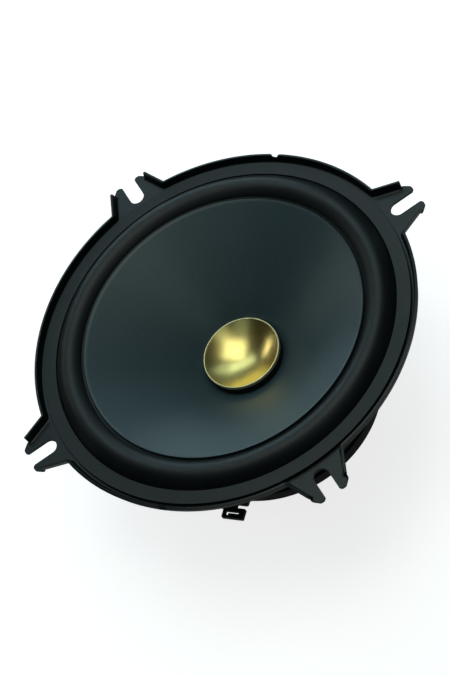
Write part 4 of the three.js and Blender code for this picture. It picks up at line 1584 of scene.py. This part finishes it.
def build_world():
    """A studio that is pale round the horizon and dark overhead, so black pieces stay black."""
    world = bpy.data.worlds.new("studio")
    world.use_nodes = True
    tree = Tree(world.node_tree)
    tree.tree.nodes.clear()
    direction = tree.node("ShaderNodeTexCoord", output="Generated")
    split = tree.node("ShaderNodeSeparateXYZ", inputs=(direction,)).socket.node
    height = Value(tree, split.outputs[2])
    settings = {"interpolation_type": "SMOOTHSTEP"}
    glow = tree.node("ShaderNodeMapRange", settings, (height, 0.0, HORIZON_TOP, HORIZON, OVERHEAD))
    seen = tree.node("ShaderNodeLightPath", output="Is Camera Ray")
    strength = glow * (1 - seen) + seen * BACKDROP
    sky = tree.node("ShaderNodeBackground", inputs={"Strength": strength})
    tree.node("ShaderNodeOutputWorld", inputs=(sky,))
    bpy.context.scene.world = world


def build_stage():
    """Floor, studio, camera and softboxes."""
    bpy.context.scene.view_settings.view_transform = "Standard"
    build_world()
    build_floor()
    build_camera()
    cool, pale = (0.64, 0.92, 1.0), (0.78, 1.0, 0.97)
    soft_light("key", (0.1, 0.14, 0.977), 1.0, 0.72, 0.72, 3.3, (0.86, 1.0, 0.93))
    soft_light("back", (0.1, 0.97, 0.2), 1.2, 1.0, 0.25, 2.4, cool)
    soft_light("back_high", (0.1, 0.7, 0.7), 1.2, 0.8, 0.4, 1.7, cool)
    soft_light("strip", (-0.504, 0.767, 0.396), 1.0, 0.34, 0.05, 0.45, (0.95, 1.0, 0.9))
    soft_light("side", (0.5, 0.6, 0.62), 1.2, 0.5, 0.5, 0.7, cool)
    soft_light("front", (0.17, -0.46, 0.88), 1.4, 0.6, 0.6, 0.6, pale)
    soft_light("fill", (-0.45, -0.25, 0.85), 1.2, 0.5, 0.5, 0.25, cool)


# ---- Add-on ----------------------------------------------------------------------------------


class SpeakerBuildMotor(bpy.types.Operator):
    """Build the back plate with its pole, the magnet and the top plate"""

    bl_idname = "speaker.build_motor"
    bl_label = "Motor"

    def execute(self, context):
        build_motor()
        return {"FINISHED"}


class SpeakerBuildBasket(bpy.types.Operator):
    """Build the pressed steel basket with its windows, rim and slotted ears"""

    bl_idname = "speaker.build_basket"
    bl_label = "Basket"

    def execute(self, context):
        build_basket()
        return {"FINISHED"}


class SpeakerBuildPlateRivets(bpy.types.Operator):
    """Build the rivets that hold the basket on the top plate"""

    bl_idname = "speaker.build_plate_rivets"
    bl_label = "Plate rivets"

    def execute(self, context):
        build_plate_rivets()
        return {"FINISHED"}


class SpeakerBuildSuspension(bpy.types.Operator):
    """Build the rubber surround, its gasket ring and the corrugated spider"""

    bl_idname = "speaker.build_suspension"
    bl_label = "Surround, gasket and spider"

    def execute(self, context):
        build_surround()
        build_gasket()
        build_spider()
        return {"FINISHED"}


class SpeakerBuildCone(bpy.types.Operator):
    """Build the cone"""

    bl_idname = "speaker.build_cone"
    bl_label = "Cone"

    def execute(self, context):
        build_cone()
        return {"FINISHED"}


class SpeakerBuildCap(bpy.types.Operator):
    """Build the dished gold cap"""

    bl_idname = "speaker.build_cap"
    bl_label = "Dust cap"

    def execute(self, context):
        build_cap()
        return {"FINISHED"}


class SpeakerBuildCoil(bpy.types.Operator):
    """Build the voice coil's former, collar and winding"""

    bl_idname = "speaker.build_coil"
    bl_label = "Voice coil"

    def execute(self, context):
        build_coil()
        return {"FINISHED"}


class SpeakerBuildTerminals(bpy.types.Operator):
    """Build the terminal board with its blades, rivets and solder pads"""

    bl_idname = "speaker.build_terminals"
    bl_label = "Terminals"

    def execute(self, context):
        build_terminals()
        return {"FINISHED"}


class SpeakerBuildLeads(bpy.types.Operator):
    """Build the two braided leads between the terminals and the voice coil"""

    bl_idname = "speaker.build_leads"
    bl_label = "Leads"

    def execute(self, context):
        build_leads()
        return {"FINISHED"}


class SpeakerBuildStage(bpy.types.Operator):
    """Set up the floor, the soft lights and the camera"""

    bl_idname = "speaker.build_stage"
    bl_label = "Stage"

    def execute(self, context):
        build_stage()
        return {"FINISHED"}


STEPS_IN_ORDER = (
    SpeakerBuildMotor,
    SpeakerBuildBasket,
    SpeakerBuildPlateRivets,
    SpeakerBuildSuspension,
    SpeakerBuildCone,
    SpeakerBuildCap,
    SpeakerBuildCoil,
    SpeakerBuildTerminals,
    SpeakerBuildLeads,
    SpeakerBuildStage,
)


class SpeakerPanel(bpy.types.Panel):
    """Lists the build steps and the sizes they use"""

    bl_idname = "SPEAKER_PT_build"
    bl_label = "Door speaker"
    bl_space_type = "VIEW_3D"
    bl_region_type = "UI"
    bl_category = "Speaker"

    def draw(self, context):
        for step in STEPS_IN_ORDER:
            self.layout.operator(step.bl_idname)
        for key in GROUPS:
            box = self.layout.box()
            group = getattr(context.scene, key)
            for prop in group.bl_rna.properties:
                if prop.identifier not in ("rna_type", "name"):
                    box.prop(group, prop.identifier)


GROUPS = {
    "speaker_motor": SpeakerMotorSizes,
    "speaker_basket": SpeakerBasketSizes,
    "speaker_cone": SpeakerConeSizes,
    "speaker_coil": SpeakerCoilSizes,
    "speaker_terminals": SpeakerTerminalSizes,
    "speaker_finishes": SpeakerFinishes,
}


def register():
    for key, group in GROUPS.items():
        bpy.utils.register_class(group)
        setattr(bpy.types.Scene, key, PointerProperty(type=group))
    for step in STEPS_IN_ORDER:
        bpy.utils.register_class(step)
    bpy.utils.register_class(SpeakerPanel)


def unregister():
    bpy.utils.unregister_class(SpeakerPanel)
    for step in reversed(STEPS_IN_ORDER):
        bpy.utils.unregister_class(step)
    for key, group in reversed(GROUPS.items()):
        delattr(bpy.types.Scene, key)
        bpy.utils.unregister_class(group)


def main():
    """Builds everything in order."""
    register()
    for step in STEPS_IN_ORDER:
        category, name = step.bl_idname.split(".")
        getattr(getattr(bpy.ops, category), name)()


if __name__ == "__main__":
    main()
